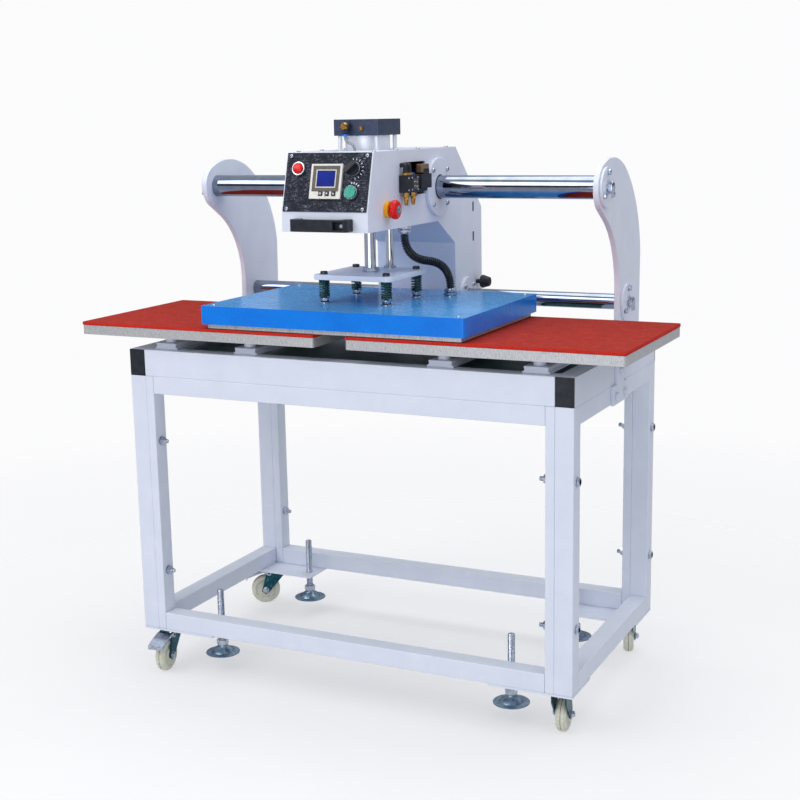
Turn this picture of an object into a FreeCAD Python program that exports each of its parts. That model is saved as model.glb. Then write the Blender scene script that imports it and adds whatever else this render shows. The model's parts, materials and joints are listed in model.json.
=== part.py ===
import FreeCAD, Part
import math
import os
import re
import Sketcher

# Double-station pneumatic heat press on a castor table.
# X runs to the right, Y runs to the back, Z up. The floor is Z = 0 and the table is centred on X = 0.
# Y positions below are counted from the front face of the table; "front_y" moves that face so that
# the middle of the whole machine lies on Y = 0.

os.makedirs("parts", exist_ok=True)
doc = FreeCAD.newDocument("HeatPress")
sheet = doc.addObject("Spreadsheet::Sheet", "Sheet")

DIMENSIONS = [
    ("front_y", -268.45), ("slack", 0.3),
    # table
    ("table_width", 1056), ("table_depth", 576), ("table_top", 769), ("rail_height", 60),
    ("tube", 40), ("slim_tube", 20), ("wall", 2), ("plate_under", 103), ("plate_thick", 5),
    ("corner_plate_width", 186), ("corner_plate_depth", 115),
    ("bolt_low", 247), ("bolt_high", 556), ("bolt_size", 10),
    # lower platens
    ("platen_width", 600), ("platen_depth", 400), ("platen_gap", 75), ("platen_front", -24),
    ("platen_under", 801), ("platen_thick", 21), ("pad_thick", 7.5),
    ("bar_width", 60), ("bar_height", 14), ("bar_from_centre", 104), ("bar_front", 20), ("bar_length", 536),
    # end plates and shafts
    ("end_plate_inner", 476), ("end_plate_thick", 12), ("shaft_upper_y", 312), ("shaft_upper_z", 1119),
    ("shaft_lower_y", 472), ("shaft_lower_z", 857), ("shaft_upper_radius", 25), ("shaft_lower_radius", 17.5),
    ("end_disc_radius", 43), ("end_disc_thick", 6),
    # head
    ("head_width", 200), ("head_wall", 4), ("head_top", 1204), ("head_under", 1043), ("head_bottom", 812),
    ("head_rear", 568), ("column_front", 410), ("head_disc_radius", 64), ("head_disc_thick", 8),
    ("panel_foot", 1083), ("panel_lean", 15.1), ("panel_thick", 2),
    ("slot_y", 517.5), ("slot_z", 1027.75), ("slot_spacing", 69.5), ("slot_length", 24), ("slot_radius", 4.5),
    # press train
    ("press_y", 175), ("press_plate_size", 190), ("press_plate_thick", 11), ("press_plate_top", 942),
    ("bolt_spacing", 150), ("rod_radius", 12.5), ("guide_radius", 9.2), ("guide_x", 8), ("guide_y", 256),
    ("cover_width", 620), ("cover_depth", 414), ("cover_height", 40), ("cover_top", 880),
    ("heat_width", 600), ("heat_depth", 396), ("press_gap", 0.8),
    ("cap_size", 108), ("cap_height", 34), ("cap_under", 1235), ("barrel_radius", 48),
    ("tie_spacing", 87), ("tie_radius", 4.5),
    # castors and feet
    ("castor_x", 488), ("castor_y", 45), ("wheel_radius", 37.5), ("wheel_width", 24), ("trail", 28),
    ("brake_pin_radius", 2.5),
    ("foot_x", 365), ("foot_y", 78), ("foot_disc_radius", 40), ("foot_disc_under", 39), ("foot_rod_top", 194),
    ("foot_rod_radius", 8),
]

for row, (alias, value) in enumerate(DIMENSIONS, start=1):
    sheet.set("A%d" % row, alias)
    sheet.set("B%d" % row, str(value))
    sheet.setAlias("B%d" % row, alias)
doc.recompute()

ALIASES = set(alias for alias, value in DIMENSIONS)
X_AXIS = FreeCAD.Rotation(FreeCAD.Vector(0, 1, 0), 90)
Y_AXIS = FreeCAD.Rotation(FreeCAD.Vector(1, 0, 0), -90)
Z_AXIS = FreeCAD.Rotation()
AXES = {"x": X_AXIS, "y": Y_AXIS, "z": Z_AXIS}
# sketch planes: local x, local y, local z of a body go to the world directions named
PLAN = FreeCAD.Rotation()                                        # X, Y, Z
SIDE = FreeCAD.Rotation(FreeCAD.Vector(1, 1, 1), 120)            # Y, Z, X
FRONT = FreeCAD.Rotation(FreeCAD.Vector(1, 0, 0), 90)            # X, Z, -Y
TURN_Z = FreeCAD.Rotation(FreeCAD.Vector(1, 0, 0), 90)           # a turned profile's own axis along Z
TURN_X = FreeCAD.Rotation(FreeCAD.Vector(0, 0, 1), -90)          # the same along +X

nodes = []


def ex(text):
    """Write an expression with every sheet name in it pointing at the sheet."""
    text = str(text)
    return re.sub(r"[A-Za-z_]+[A-Za-z_0-9]*",
                  lambda found: "Sheet." + found.group(0) if found.group(0) in ALIASES else found.group(0),
                  text)


def number(text):
    """The present value of an expression."""
    value = sheet.evalExpression(ex(text))
    return float(getattr(value, "Value", value))


def bind(thing, prop, text):
    thing.setExpression(prop, ex(text))


def deep(y):
    """A depth counted from the table's front face."""
    return "front_y + (%s)" % y


def put(thing, x, y, z, turn=None):
    """Place a thing by expressions; y is already a world position."""
    if turn is not None:
        thing.Placement = FreeCAD.Placement(FreeCAD.Vector(), turn)
    bind(thing, "Placement.Base.x", x)
    bind(thing, "Placement.Base.y", y)
    bind(thing, "Placement.Base.z", z)
    return thing


def box(name, x, y, z, dx, dy, dz):
    thing = doc.addObject("Part::Box", name)
    bind(thing, "Length", dx)
    bind(thing, "Width", dy)
    bind(thing, "Height", dz)
    return put(thing, x, y, z)


def rod(name, axis, x, y, z, radius, length):
    thing = doc.addObject("Part::Cylinder", name)
    bind(thing, "Radius", radius)
    bind(thing, "Height", length)
    return put(thing, x, y, z, AXES[axis])


def cone(name, axis, x, y, z, radius, end_radius, length):
    thing = doc.addObject("Part::Cone", name)
    bind(thing, "Radius1", radius)
    bind(thing, "Radius2", end_radius)
    bind(thing, "Height", length)
    return put(thing, x, y, z, AXES[axis])


def hexagon(name, axis, x, y, z, across, length):
    """A hexagonal nut or head, "across" its flats."""
    thing = doc.addObject("Part::Prism", name)
    thing.Polygon = 6
    bind(thing, "Circumradius", "(%s) / 1.7320508" % across)
    bind(thing, "Height", length)
    return put(thing, x, y, z, AXES[axis])


def together(name, members):
    thing = doc.addObject("Part::Compound", name)
    thing.Links = members
    return thing


def fuse(name, members):
    thing = doc.addObject("Part::MultiFuse", name)
    thing.Shapes = members
    return thing


def cut(name, base, tools):
    thing = doc.addObject("Part::Cut", name)
    thing.Base = base
    thing.Tool = tools[0] if len(tools) == 1 else fuse(name + "_tools", tools)
    return thing


def tube(name, axis, x, y, z, radius, bore, length):
    outer = rod(name + "_outer", axis, x, y, z, radius, length)
    inner = rod(name + "_bore", axis, x, y, z, bore, length)
    return cut(name, outer, [inner])


def node(label, thing):
    """Name a finished sub-part and keep it for export."""
    thing.Label = label
    nodes.append(thing)
    return thing


# ---- sketched bodies -------------------------------------------------------------------------

def body(name, turn, x, y, z):
    thing = doc.addObject("PartDesign::Body", name)
    return put(thing, x, y, z, turn)


def sketch(owner, name):
    thing = owner.newObject("Sketcher::SketchObject", name)
    plane = [feature for feature in owner.Origin.OriginFeatures if feature.Role == "XY_Plane"][0]
    thing.AttachmentSupport = (plane, [""])
    thing.MapMode = "FlatFace"
    return thing


def pin_point(where, geometry, point, x, y):
    """Hold one sketch point at coordinates given by expressions."""
    for kind, text in (("DistanceX", x), ("DistanceY", y)):
        index = where.addConstraint(Sketcher.Constraint(kind, -1, 1, geometry, point, number(text)))
        label = "%s%d_%d" % ("u" if kind == "DistanceX" else "v", geometry, point)
        where.renameConstraint(index, label)
        where.setExpression("Constraints." + label, ex(text))


def outline(where, points, arcs=None):
    """A closed outline. arcs: {edge index: (radius, +1 bulge left / -1 bulge right of travel)}."""
    arcs = arcs or {}
    spots = [FreeCAD.Vector(number(x), number(y), 0) for x, y in points]
    first = where.GeometryCount
    count = len(points)
    ends = []
    for i in range(count):
        start = spots[i]
        end = spots[(i + 1) % count]
        if i in arcs:
            radius, side = number(arcs[i][0]), arcs[i][1]
            chord = end - start
            half = chord.Length / 2
            rise = radius - math.sqrt(radius * radius - half * half)
            left = FreeCAD.Vector(-chord.y, chord.x, 0).normalize()
            middle = (start + end) * 0.5 + left * (rise * side)
            if side < 0:
                where.addGeometry(Part.Arc(start, middle, end), False)
                ends.append((1, 2))
            else:
                where.addGeometry(Part.Arc(end, middle, start), False)
                ends.append((2, 1))
        else:
            where.addGeometry(Part.LineSegment(start, end), False)
            ends.append((1, 2))
    for i in range(count):
        after = (i + 1) % count
        where.addConstraint(Sketcher.Constraint("Coincident", first + i, ends[i][1], first + after, ends[after][0]))
    for i in range(count):
        pin_point(where, first + i, ends[i][0], points[i][0], points[i][1])
        if i in arcs:
            index = where.addConstraint(Sketcher.Constraint("Radius", first + i, number(arcs[i][0])))
            where.renameConstraint(index, "r%d" % (first + i))
            where.setExpression("Constraints.r%d" % (first + i), ex(arcs[i][0]))


def circle(where, x, y, radius):
    index = where.GeometryCount
    where.addGeometry(Part.Circle(FreeCAD.Vector(number(x), number(y), 0), FreeCAD.Vector(0, 0, 1),
                                  number(radius)), False)
    pin_point(where, index, 3, x, y)
    held = where.addConstraint(Sketcher.Constraint("Radius", index, number(radius)))
    where.renameConstraint(held, "r%d" % index)
    where.setExpression("Constraints.r%d" % index, ex(radius))


def pad(owner, name, profile, length):
    thing = owner.newObject("PartDesign::Pad", name)
    thing.Profile = profile
    bind(thing, "Length", length)
    owner.Tip = thing
    return thing


def pocket(owner, name, profile):
    thing = owner.newObject("PartDesign::Pocket", name)
    thing.Profile = profile
    thing.Type = "ThroughAll"
    thing.Reversed = True
    owner.Tip = thing
    return thing


def plate(name, turn, x, y, z, points, length, arcs=None, holes=()):
    """A plate cut to an outline, with round holes (x, y, radius) right through it."""
    owner = body(name, turn, x, y, z)
    shape = sketch(owner, name + "_outline")
    outline(shape, points, arcs)
    pad(owner, name + "_pad", shape, length)
    if holes:
        drilled = sketch(owner, name + "_holes")
        for hole in holes:
            circle(drilled, *hole)
        pocket(owner, name + "_pocket", drilled)
    return owner


def turned(name, turn, x, y, z, points, arcs=None):
    """A turned piece: the outline is (radius, height along the piece's own axis)."""
    owner = body(name, turn, x, y, z)
    shape = sketch(owner, name + "_profile")
    outline(shape, points, arcs)
    thing = owner.newObject("PartDesign::Revolution", name + "_turn")
    thing.Profile = shape
    thing.ReferenceAxis = (shape, ["V_Axis"])
    thing.Angle = 360
    owner.Tip = thing
    return owner


def rounded_rectangle(half_x, half_y, corner):
    """Points and arcs of a rectangle about the origin with rounded corners, run anticlockwise."""
    points = []
    for sx, sy in ((1, -1), (1, 1), (-1, 1), (-1, -1)):
        beside = ("%d * ((%s) - (%s))" % (sx, half_x, corner), "%d * (%s)" % (sy, half_y))
        above = ("%d * (%s)" % (sx, half_x), "%d * ((%s) - (%s))" % (sy, half_y, corner))
        points += [beside, above] if sx * sy < 0 else [above, beside]
    arcs = {i: (corner, -1) for i in (0, 2, 4, 6)}
    return points, arcs


def square_tube(name, axis, x, y, z, wide, high, length):
    """A rectangular steel tube; wide and high are its sizes across, in axis order."""
    if axis == "x":
        outer = box(name + "_outer", x, y, z, length, wide, high)
        inner = box(name + "_bore", x, "%s + wall" % y, "%s + wall" % z,
                    length, "(%s) - 2 * wall" % wide, "(%s) - 2 * wall" % high)
    elif axis == "y":
        outer = box(name + "_outer", x, y, z, wide, length, high)
        inner = box(name + "_bore", "%s + wall" % x, y, "%s + wall" % z,
                    "(%s) - 2 * wall" % wide, length, "(%s) - 2 * wall" % high)
    else:
        outer = box(name + "_outer", x, y, z, wide, high, length)
        inner = box(name + "_bore", "%s + wall" % x, "%s + wall" % y, z,
                    "(%s) - 2 * wall" % wide, "(%s) - 2 * wall" % high, length)
    return cut(name, outer, [inner])


# ---- table -----------------------------------------------------------------------------------

HALF = "table_width / 2"
SEAM = "(table_top - rail_height)"
LEG_FOOT = "(plate_under + plate_thick)"
BACK_ROW = "(table_depth - tube)"
CAP = "3"                       # thickness of a tube end cap


def left_edge(side):
    """X of the low side of the outer 40 mm tube on one side of the table."""
    return "(%s - tube)" % HALF if side > 0 else "(-%s)" % HALF


def upper_frame():
    members = []
    for side, tag in ((-1, "left"), (1, "right")):
        members.append(square_tube("upper_rail_" + tag, "y", left_edge(side), deep(CAP), SEAM,
                                   "tube", "rail_height", "table_depth - 2 * %s" % CAP))
    for row, tag in (("0", "front"), (BACK_ROW, "back")):
        members.append(square_tube("upper_rail_" + tag, "x", "tube - %s" % HALF, deep(row), SEAM,
                                   "tube", "rail_height", "table_width - 2 * tube"))
    return node("upper_frame", together("upper_frame", members))


def rail_end_caps():
    caps = []
    for side in (-1, 1):
        for row, tag in (("0", "f"), ("table_depth - %s" % CAP, "b")):
            name = "end_cap_%s%d" % (tag, side + 1)
            face = box(name, left_edge(side), deep(row), SEAM, "tube", CAP, "rail_height")
            caps.append(face)
    return node("rail_end_caps", together("rail_end_caps", caps))


def table_panel():
    return node("table_panel", box("table_panel", "-end_plate_inner + 1", deep("tube"), "table_top - 14",
                                   "2 * end_plate_inner - 2", "table_depth - 2 * tube", "3"))


def side_frames():
    members = []
    length = "%s - %s" % (SEAM, LEG_FOOT)
    for side in (-1, 1):
        for row, tag in (("0", "f"), (BACK_ROW, "b")):
            members.append(square_tube("leg_%s%d" % (tag, side + 1), "z", left_edge(side), deep(row), LEG_FOOT,
                                       "tube", "tube", length))
        for height, tag in ((LEG_FOOT, "low"), ("(%s - tube)" % SEAM, "high")):
            members.append(square_tube("side_rail_%s%d" % (tag, side + 1), "y", left_edge(side), deep("tube"),
                                       height, "tube", "tube", "table_depth - 2 * tube"))
    return node("side_frames", together("side_frames", members))


def cross_frames():
    members = []
    length = "%s - %s" % (SEAM, LEG_FOOT)
    inside = "(%s - tube - slim_tube)" % HALF
    for row, tag in (("0", "f"), (BACK_ROW, "b")):
        for side in (-1, 1):
            edge = inside if side > 0 else "(tube - %s)" % HALF
            members.append(square_tube("upright_%s%d" % (tag, side + 1), "z", edge, deep(row), LEG_FOOT,
                                       "slim_tube", "tube", length))
        for height, level in ((LEG_FOOT, "low"), ("(%s - tube)" % SEAM, "high")):
            members.append(square_tube("cross_rail_%s_%s" % (tag, level), "x", "-" + inside, deep(row), height,
                                       "tube", "tube", "2 * " + inside))
    return node("cross_frames", together("cross_frames", members))


def corner_plates():
    members = []
    for side in (-1, 1):
        for row in (-1, 1):
            name = "corner_plate_%d%d" % (side + 1, row + 1)
            x = "%s - corner_plate_width" % HALF if side > 0 else "-%s" % HALF
            y = "0" if row < 0 else "table_depth - corner_plate_depth"
            slab = box(name + "_slab", x, deep(y), "plate_under", "corner_plate_width", "corner_plate_depth",
                       "plate_thick")
            foot_y = "foot_y" if row < 0 else "table_depth - foot_y"
            hole = rod(name + "_hole", "z", "%d * foot_x" % side, deep(foot_y), "plate_under - 5",
                       "foot_rod_radius + slack", "plate_thick + 10")
            members.append(cut(name, slab, [hole]))
    return node("corner_plates", together("corner_plates", members))


def frame_bolts():
    """Through bolts that hold each leg to the upright beside it, and the weld nuts of the feet."""
    members = []
    for side in (-1, 1):
        for row, tag in (("tube / 2", "f"), ("table_depth - tube / 2", "b")):
            for height, level in (("bolt_low", "low"), ("bolt_high", "high")):
                name = "frame_bolt_%s%d_%s" % (tag, side + 1, level)
                out = HALF if side > 0 else "-%s - 7" % HALF
                inner = "%s - tube - slim_tube - 9" % HALF if side > 0 else "tube + slim_tube - %s" % HALF
                end = "%s - tube - slim_tube - 18" % HALF if side > 0 else "tube + slim_tube - %s + 9" % HALF
                members.append(hexagon(name + "_head", "x", out, deep(row), height, "17", "7"))
                nut = hexagon(name + "_nut", "x", inner, deep(row), height, "17", "9")
                tip = rod(name + "_tip", "x", end, deep(row), height, "bolt_size / 2", "9")
                members.append(fuse(name + "_inner", [nut, tip]))
        for row, tag in (("foot_y", "f"), ("table_depth - foot_y", "b")):
            name = "foot_nut_%s%d" % (tag, side + 1)
            nut = hexagon(name + "_blank", "z", "%d * foot_x" % side, deep(row), "plate_under - 6", "24", "6")
            hole = rod(name + "_hole", "z", "%d * foot_x" % side, deep(row), "plate_under - 8",
                       "foot_rod_radius + slack", "10")
            members.append(cut(name, nut, [hole]))
    return node("frame_bolts", together("frame_bolts", members))


def joint_plates():
    """A stepped plate and three bolts on each outer side, holding the top frame to the stand."""
    members = []
    for side in (-1, 1):
        tag = "l" if side < 0 else "r"
        x = HALF if side > 0 else "-%s - 6" % HALF
        neck = box("joint_neck_" + tag, x, deep("263"), SEAM + " - 1", "6", "50", "40")
        foot = box("joint_foot_" + tag, x, deep("236"), SEAM + " - 42", "6", "104", "42")
        strap = fuse("joint_plate_" + tag, [neck, foot])
        members.append(strap)
        head_x = HALF + " + 6" if side > 0 else "-%s - 13" % HALF
        for index, (y, z) in enumerate((("290", "27"), ("258", "-24"), ("318", "-24"))):
            members.append(hexagon("joint_bolt_%s%d" % (tag, index), "x", head_x, deep(y),
                                   "%s + %s" % (SEAM, z), "17", "7"))
    return node("joint_plates", together("joint_plates", members))


def platen_bars():
    """Two flanged bars under each platen, front to back, and the round spacers on them."""
    members = []
    for side in (-1, 1):
        for offset in (-1, 1):
            name = "bar_%d%d" % (side + 1, offset + 1)
            middle = "(%d * (platen_width + platen_gap) / 2 + %d * bar_from_centre)" % (side, offset)
            half = "bar_width / 2"
            points = [("-" + half, "0"), (half, "0"), (half, "3"), (half + " - 5", "6"), (half + " - 3", "bar_height"),
                      ("3 - " + half, "bar_height"), ("5 - " + half, "6"), ("-" + half, "3")]
            bar = plate(name, FRONT, middle, deep("bar_front + bar_length"), "table_top", points, "bar_length")
            members.append(bar)
            for index, y in enumerate(("bar_front + 22", "platen_front + platen_depth - 40")):
                members.append(rod("%s_spacer%d" % (name, index), "z", middle, deep(y), "table_top + bar_height",
                                   "13", "platen_under - table_top - bar_height"))
    return node("platen_bars", together("platen_bars", members))


def platens():
    members = []
    points, arcs = rounded_rectangle("platen_width / 2", "platen_depth / 2", "6")
    for side in (-1, 1):
        middle = "%d * (platen_width + platen_gap) / 2" % side
        members.append(plate("platen_%d" % (side + 1), PLAN, middle, deep("platen_front + platen_depth / 2"),
                             "platen_under", points, "platen_thick", arcs))
    return node("platens", together("platens", members))


def pads():
    members = []
    points, arcs = rounded_rectangle("platen_width / 2 + 1", "platen_depth / 2 + 1", "5")
    for side in (-1, 1):
        middle = "%d * (platen_width + platen_gap) / 2" % side
        members.append(plate("pad_%d" % (side + 1), PLAN, middle, deep("platen_front + platen_depth / 2"),
                             "platen_under + platen_thick", points, "pad_thick", arcs))
    return node("pads", together("pads", members))


# ---- end plates and shafts ---------------------------------------------------------------------

def end_plates():
    points = [("420", "table_top - 54"), ("534", "table_top - 54"), ("534", "table_top + 2"), ("576", "table_top + 2"),
              ("580", "965"), ("481", "1139.5"), ("291", "1163"), ("283", "1076"), ("325", "1051"), ("420", "890")]
    arcs = {4: ("253", -1), 5: ("180", -1), 6: ("52", -1), 8: ("187", 1)}
    members = []
    for side in (-1, 1):
        x = "end_plate_inner" if side > 0 else "-end_plate_inner - end_plate_thick"
        members.append(plate("end_plate_%d" % (side + 1), SIDE, x, "front_y", "0", points, "end_plate_thick", arcs))
    return node("end_plates", together("end_plates", members))


SHAFTS = (("upper", "shaft_upper_y", "shaft_upper_z", "shaft_upper_radius"),
          ("lower", "shaft_lower_y", "shaft_lower_z", "shaft_lower_radius"))


def end_discs():
    members = []
    for side in (-1, 1):
        face = "end_plate_inner + end_plate_thick"
        x = face if side > 0 else "-(%s) - end_disc_thick" % face
        for tag, y, z, radius in SHAFTS:
            name = "end_disc_%s_%d" % (tag, side + 1)
            members.append(rod(name, "x", x, deep(y), z, "end_disc_radius", "end_disc_thick"))
    return node("end_discs", together("end_discs", members))


def end_bolts():
    members = []
    for side in (-1, 1):
        face = "end_plate_inner + end_plate_thick + end_disc_thick"
        for tag, y, z, radius in SHAFTS:
            name = "end_bolt_%s_%d" % (tag, side + 1)
            washer_x = face if side > 0 else "-(%s) - 2" % face
            head_x = "%s + 2" % face if side > 0 else "-(%s) - 12" % face
            washer = rod(name + "_washer", "x", washer_x, deep(y), z, "15", "2")
            head = hexagon(name + "_head", "x", head_x, deep(y), z, "22", "10")
            members.append(fuse(name, [washer, head]))
            for index, angle in enumerate((90, 210, 330)):
                dy = "32 * cos(%d)" % angle
                dz = "32 * sin(%d)" % angle
                x = face if side > 0 else "-(%s) - 6" % face
                members.append(hexagon("%s_%d" % (name, index), "x", x, deep("%s + %s" % (y, dy)),
                                       "%s + %s" % (z, dz), "11", "6"))
    return node("end_bolts", together("end_bolts", members))


def shafts():
    members = [rod("shaft_" + tag, "x", "-end_plate_inner", deep(y), z, radius, "2 * end_plate_inner")
               for tag, y, z, radius in SHAFTS]
    return node("shafts", together("shafts", members))


# ---- head --------------------------------------------------------------------------------------

PANEL_LENGTH = "((head_top - panel_foot) / cos(panel_lean))"
LIP_Y = "-28"


def head_outline(inset):
    """The L-shaped side view of the head box, drawn inwards by a wall."""
    slope = "(head_top - panel_foot) * tan(panel_lean)"
    w = inset
    return [("%s + %s + %s" % (LIP_Y, slope, w), "head_top - %s" % w),
            ("417 - %s / 2" % w, "head_top - %s" % w),
            ("head_rear - %s" % w, "1059.5 - %s / 2" % w),
            ("head_rear - %s" % w, "head_bottom + %s" % w),
            ("column_front + %s" % w, "head_bottom + %s" % w),
            ("column_front + %s" % w, "986 + %s / 2" % w),
            ("315 + %s / 2" % w, "head_under + %s" % w),
            ("%s + %s" % (LIP_Y, w), "head_under + %s" % w),
            ("%s + %s" % (LIP_Y, w), "panel_foot + %s / 3" % w)]


def head_shell():
    half = "head_width / 2"
    outer = plate("head_outer", SIDE, "-" + half, "front_y", "0", head_outline("0"), "head_width")
    inner = plate("head_hollow", SIDE, "head_wall - " + half, "front_y", "0", head_outline("head_wall"),
                  "head_width - 2 * head_wall")
    tools = [inner]
    for tag, y, z, radius in SHAFTS:
        tools.append(rod("head_hole_" + tag, "x", "-%s - 5" % half, deep(y), z, radius + " + 8", "head_width + 10"))
    tools.append(rod("head_hole_barrel", "z", "0", deep("press_y"), "head_top - 10", "barrel_radius + 1", "20"))
    tools.append(rod("head_hole_rod", "z", "0", deep("press_y"), "head_under - 5", "rod_radius + 2", "20"))
    tools.append(rod("head_hole_guide", "z", "guide_x", deep("guide_y"), "head_under - 5", "guide_radius + 3", "20"))
    for a in (-1, 1):
        for b in (-1, 1):
            tools.append(rod("head_hole_tie_%d%d" % (a + 1, b + 1), "z", "%d * tie_spacing / 2" % a,
                             deep("press_y + %d * tie_spacing / 2" % b), "head_top - 10", "tie_radius + slack", "20"))
    tools.append(box("head_window", half + " - 6", deep("142"), "1108", "12", "108", "70"))
    for index, side in enumerate((-1, 1)):
        middle = "(slot_z + %d * slot_spacing / 2)" % side
        reach = "(slot_length / 2 - slot_radius)"
        tools.append(box("head_slot_%d" % index, half + " - 6", deep("slot_y - slot_radius"),
                         "%s - %s" % (middle, reach), "12", "2 * slot_radius", "2 * %s" % reach))
        for end in (-1, 1):
            tools.append(rod("head_slot_end_%d%d" % (index, end + 1), "x", half + " - 6", deep("slot_y"),
                             "%s + %d * %s" % (middle, end, reach), "slot_radius", "12"))
    return node("head_shell", cut("head_shell", outer, tools))


def head_bearings():
    """Bearing tubes round both shafts with the round discs outside the head, and the guide rod's bush."""
    members = []
    for tag, y, z, radius in SHAFTS:
        big = "head_disc_radius" if tag == "upper" else "45"
        bore = radius + " + 0.05"
        sleeve = rod("bearing_sleeve_" + tag, "x", "-head_width / 2", deep(y), z, radius + " + 7.5", "head_width")
        discs = [sleeve]
        for side in (-1, 1):
            x = "head_width / 2" if side > 0 else "-head_width / 2 - head_disc_thick"
            discs.append(rod("bearing_disc_%s_%d" % (tag, side + 1), "x", x, deep(y), z, big, "head_disc_thick"))
        hole = rod("bearing_bore_" + tag, "x", "-head_width", deep(y), z, bore, "2 * head_width")
        members.append(cut("bearing_" + tag, fuse("bearing_solid_" + tag, discs), [hole]))
    members.append(tube("guide_bush", "z", "guide_x", deep("guide_y"), "head_under + head_wall", "15",
                        "guide_radius + 0.05", "40"))
    return node("head_bearings", together("head_bearings", members))


def head_screws():
    """Button-head screws of the discs, the top cover and the control panel."""
    members = []
    for side in (-1, 1):
        face = "head_width / 2 + head_disc_thick"
        x = face if side > 0 else "-(%s) - 4" % face
        for tag, y, z, radius in SHAFTS:
            reach = "37" if tag == "upper" else "24"
            for a in (-1, 1):
                for b in (-1, 1):
                    name = "disc_screw_%s_%d%d%d" % (tag, side + 1, a + 1, b + 1)
                    members.append(rod(name, "x", x, deep("%s + %d * %s" % (y, a, reach)),
                                       "%s + %d * %s" % (z, b, reach), "5.5", "4"))
    for a in (-1, 1):
        for y in ("30", "130", "240", "390"):
            members.append(rod("top_screw_%d_%s" % (a + 1, y), "z", "%d * 88" % a, deep(y), "head_top", "4.5", "3"))
    return node("head_screws", together("head_screws", members))


def cylinder():
    """Barrel, lower cover and four tie rods of the air cylinder, standing through the head's top."""
    low = "1090"
    barrel = tube("barrel", "z", "0", deep("press_y"), low, "barrel_radius", "barrel_radius - 3",
                  "cap_under - %s" % low)
    half = "cap_size / 2"
    base = box("cylinder_base", "-" + half, deep("press_y - %s" % half), "1056", "cap_size", "cap_size", "34")
    hole = rod("cylinder_base_bore", "z", "0", deep("press_y"), "1050", "rod_radius + 0.05", "45")
    members = [barrel, cut("cylinder_base_bored", base, [hole])]
    for a in (-1, 1):
        for b in (-1, 1):
            members.append(rod("tie_rod_%d%d" % (a + 1, b + 1), "z", "%d * tie_spacing / 2" % a,
                               deep("press_y + %d * tie_spacing / 2" % b), low, "tie_radius",
                               "cap_under - %s" % low))
    return node("cylinder", together("cylinder", members))


def cylinder_cap():
    points, arcs = rounded_rectangle("cap_size / 2", "cap_size / 2", "4")
    return node("cylinder_cap", plate("cylinder_cap", PLAN, "0", deep("press_y"), "cap_under", points,
                                      "cap_height", arcs))


def on_panel(x, up, out):
    """World position of a point on the leaning control panel: up along it, out along its normal."""
    y = "%s + (%s) * sin(panel_lean) - (%s) * cos(panel_lean)" % (LIP_Y, up, out)
    z = "panel_foot + (%s) * cos(panel_lean) + (%s) * sin(panel_lean)" % (up, out)
    return x, deep(y), z


# local z of a piece on the panel points out of it
PANEL_TURN = FreeCAD.Rotation(FreeCAD.Vector(1, 0, 0), 90 - number("panel_lean"))
PANEL_TURNED = PANEL_TURN.multiply(TURN_Z)


def panel_piece(thing, x, up, out):
    """Stand a Part primitive on the panel with its height pointing out of it."""
    spot = on_panel(x, up, out)
    return put(thing, spot[0], spot[1], spot[2], PANEL_TURN)


def panel_rod(name, x, up, out, radius, length):
    return panel_piece(rod(name, "z", "0", "0", "0", radius, length), x, up, out)


def panel_ring(name, x, up, out, radius, bore, length):
    return cut(name, panel_rod(name + "_outer", x, up, out, radius, length),
               [panel_rod(name + "_bore", x, up, out, bore, length)])


def panel_box(name, x, up, out, dx, dup, dout):
    """A block on the panel given by its middle in x and up."""
    thing = doc.addObject("Part::Box", name)
    bind(thing, "Length", dx)
    bind(thing, "Width", dup)
    bind(thing, "Height", dout)
    return panel_piece(thing, "(%s) - (%s) / 2" % (x, dx), "(%s) - (%s) / 2" % (up, dup), out)


def panel_bar(name, spot, out, width, length, height, lean):
    """A block on the panel given by its middle and leaning to the right by a number of degrees."""
    thing = doc.addObject("Part::Box", name)
    bind(thing, "Length", width)
    bind(thing, "Width", length)
    bind(thing, "Height", height)
    cosine = "cos(%d deg)" % lean
    sine = "sin(%d deg)" % lean
    x = "%s - %s * %s / 2 - %s * %s / 2" % (spot[0], width, cosine, length, sine)
    up = "%s + %s * %s / 2 - %s * %s / 2" % (spot[1], width, sine, length, cosine)
    corner = on_panel(x, up, out)
    turn = PANEL_TURN.multiply(FreeCAD.Rotation(FreeCAD.Vector(0, 0, 1), -lean))
    return put(thing, corner[0], corner[1], corner[2], turn)


RED = ("-66", "90")
GREEN = ("60", "41")
SELECTOR = ("60", "90")
CONTROLLER = ("1", "63.5")
KEY_XS = ("-8.5", "6.5", "21.5")
KEY_UP = "38"


def control_panel():
    face = panel_box("panel_face", "0", PANEL_LENGTH + " / 2", "0", "head_width - 6", PANEL_LENGTH + " - 3",
                     "panel_thick")
    screws = []
    for x in ("-88", "88"):
        for up in ("7", "117"):
            screws.append(panel_rod("panel_screw_%s_%s" % (x.replace("-", "m"), up), x, up, "panel_thick", "3.8", "2"))
    return node("control_panel", fuse("control_panel", [face] + screws))


def controller():
    x, up = CONTROLLER
    case = panel_box("controller_case", x, up, "panel_thick", "72", "72", "6")
    screen = panel_box("controller_recess", x, "%s + 8" % up, "panel_thick + 5", "50", "42", "4")
    wells = [panel_box("key_well_%d" % i, key, KEY_UP, "panel_thick + 4", "9.6", "9.6", "6")
             for i, key in enumerate(KEY_XS)]
    return node("controller", cut("controller", case, [screen] + wells))


def key(label, x):
    return node(label, panel_box(label, x, KEY_UP, "panel_thick + 5.4", "8.8", "8.8", "2.4"))


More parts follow.
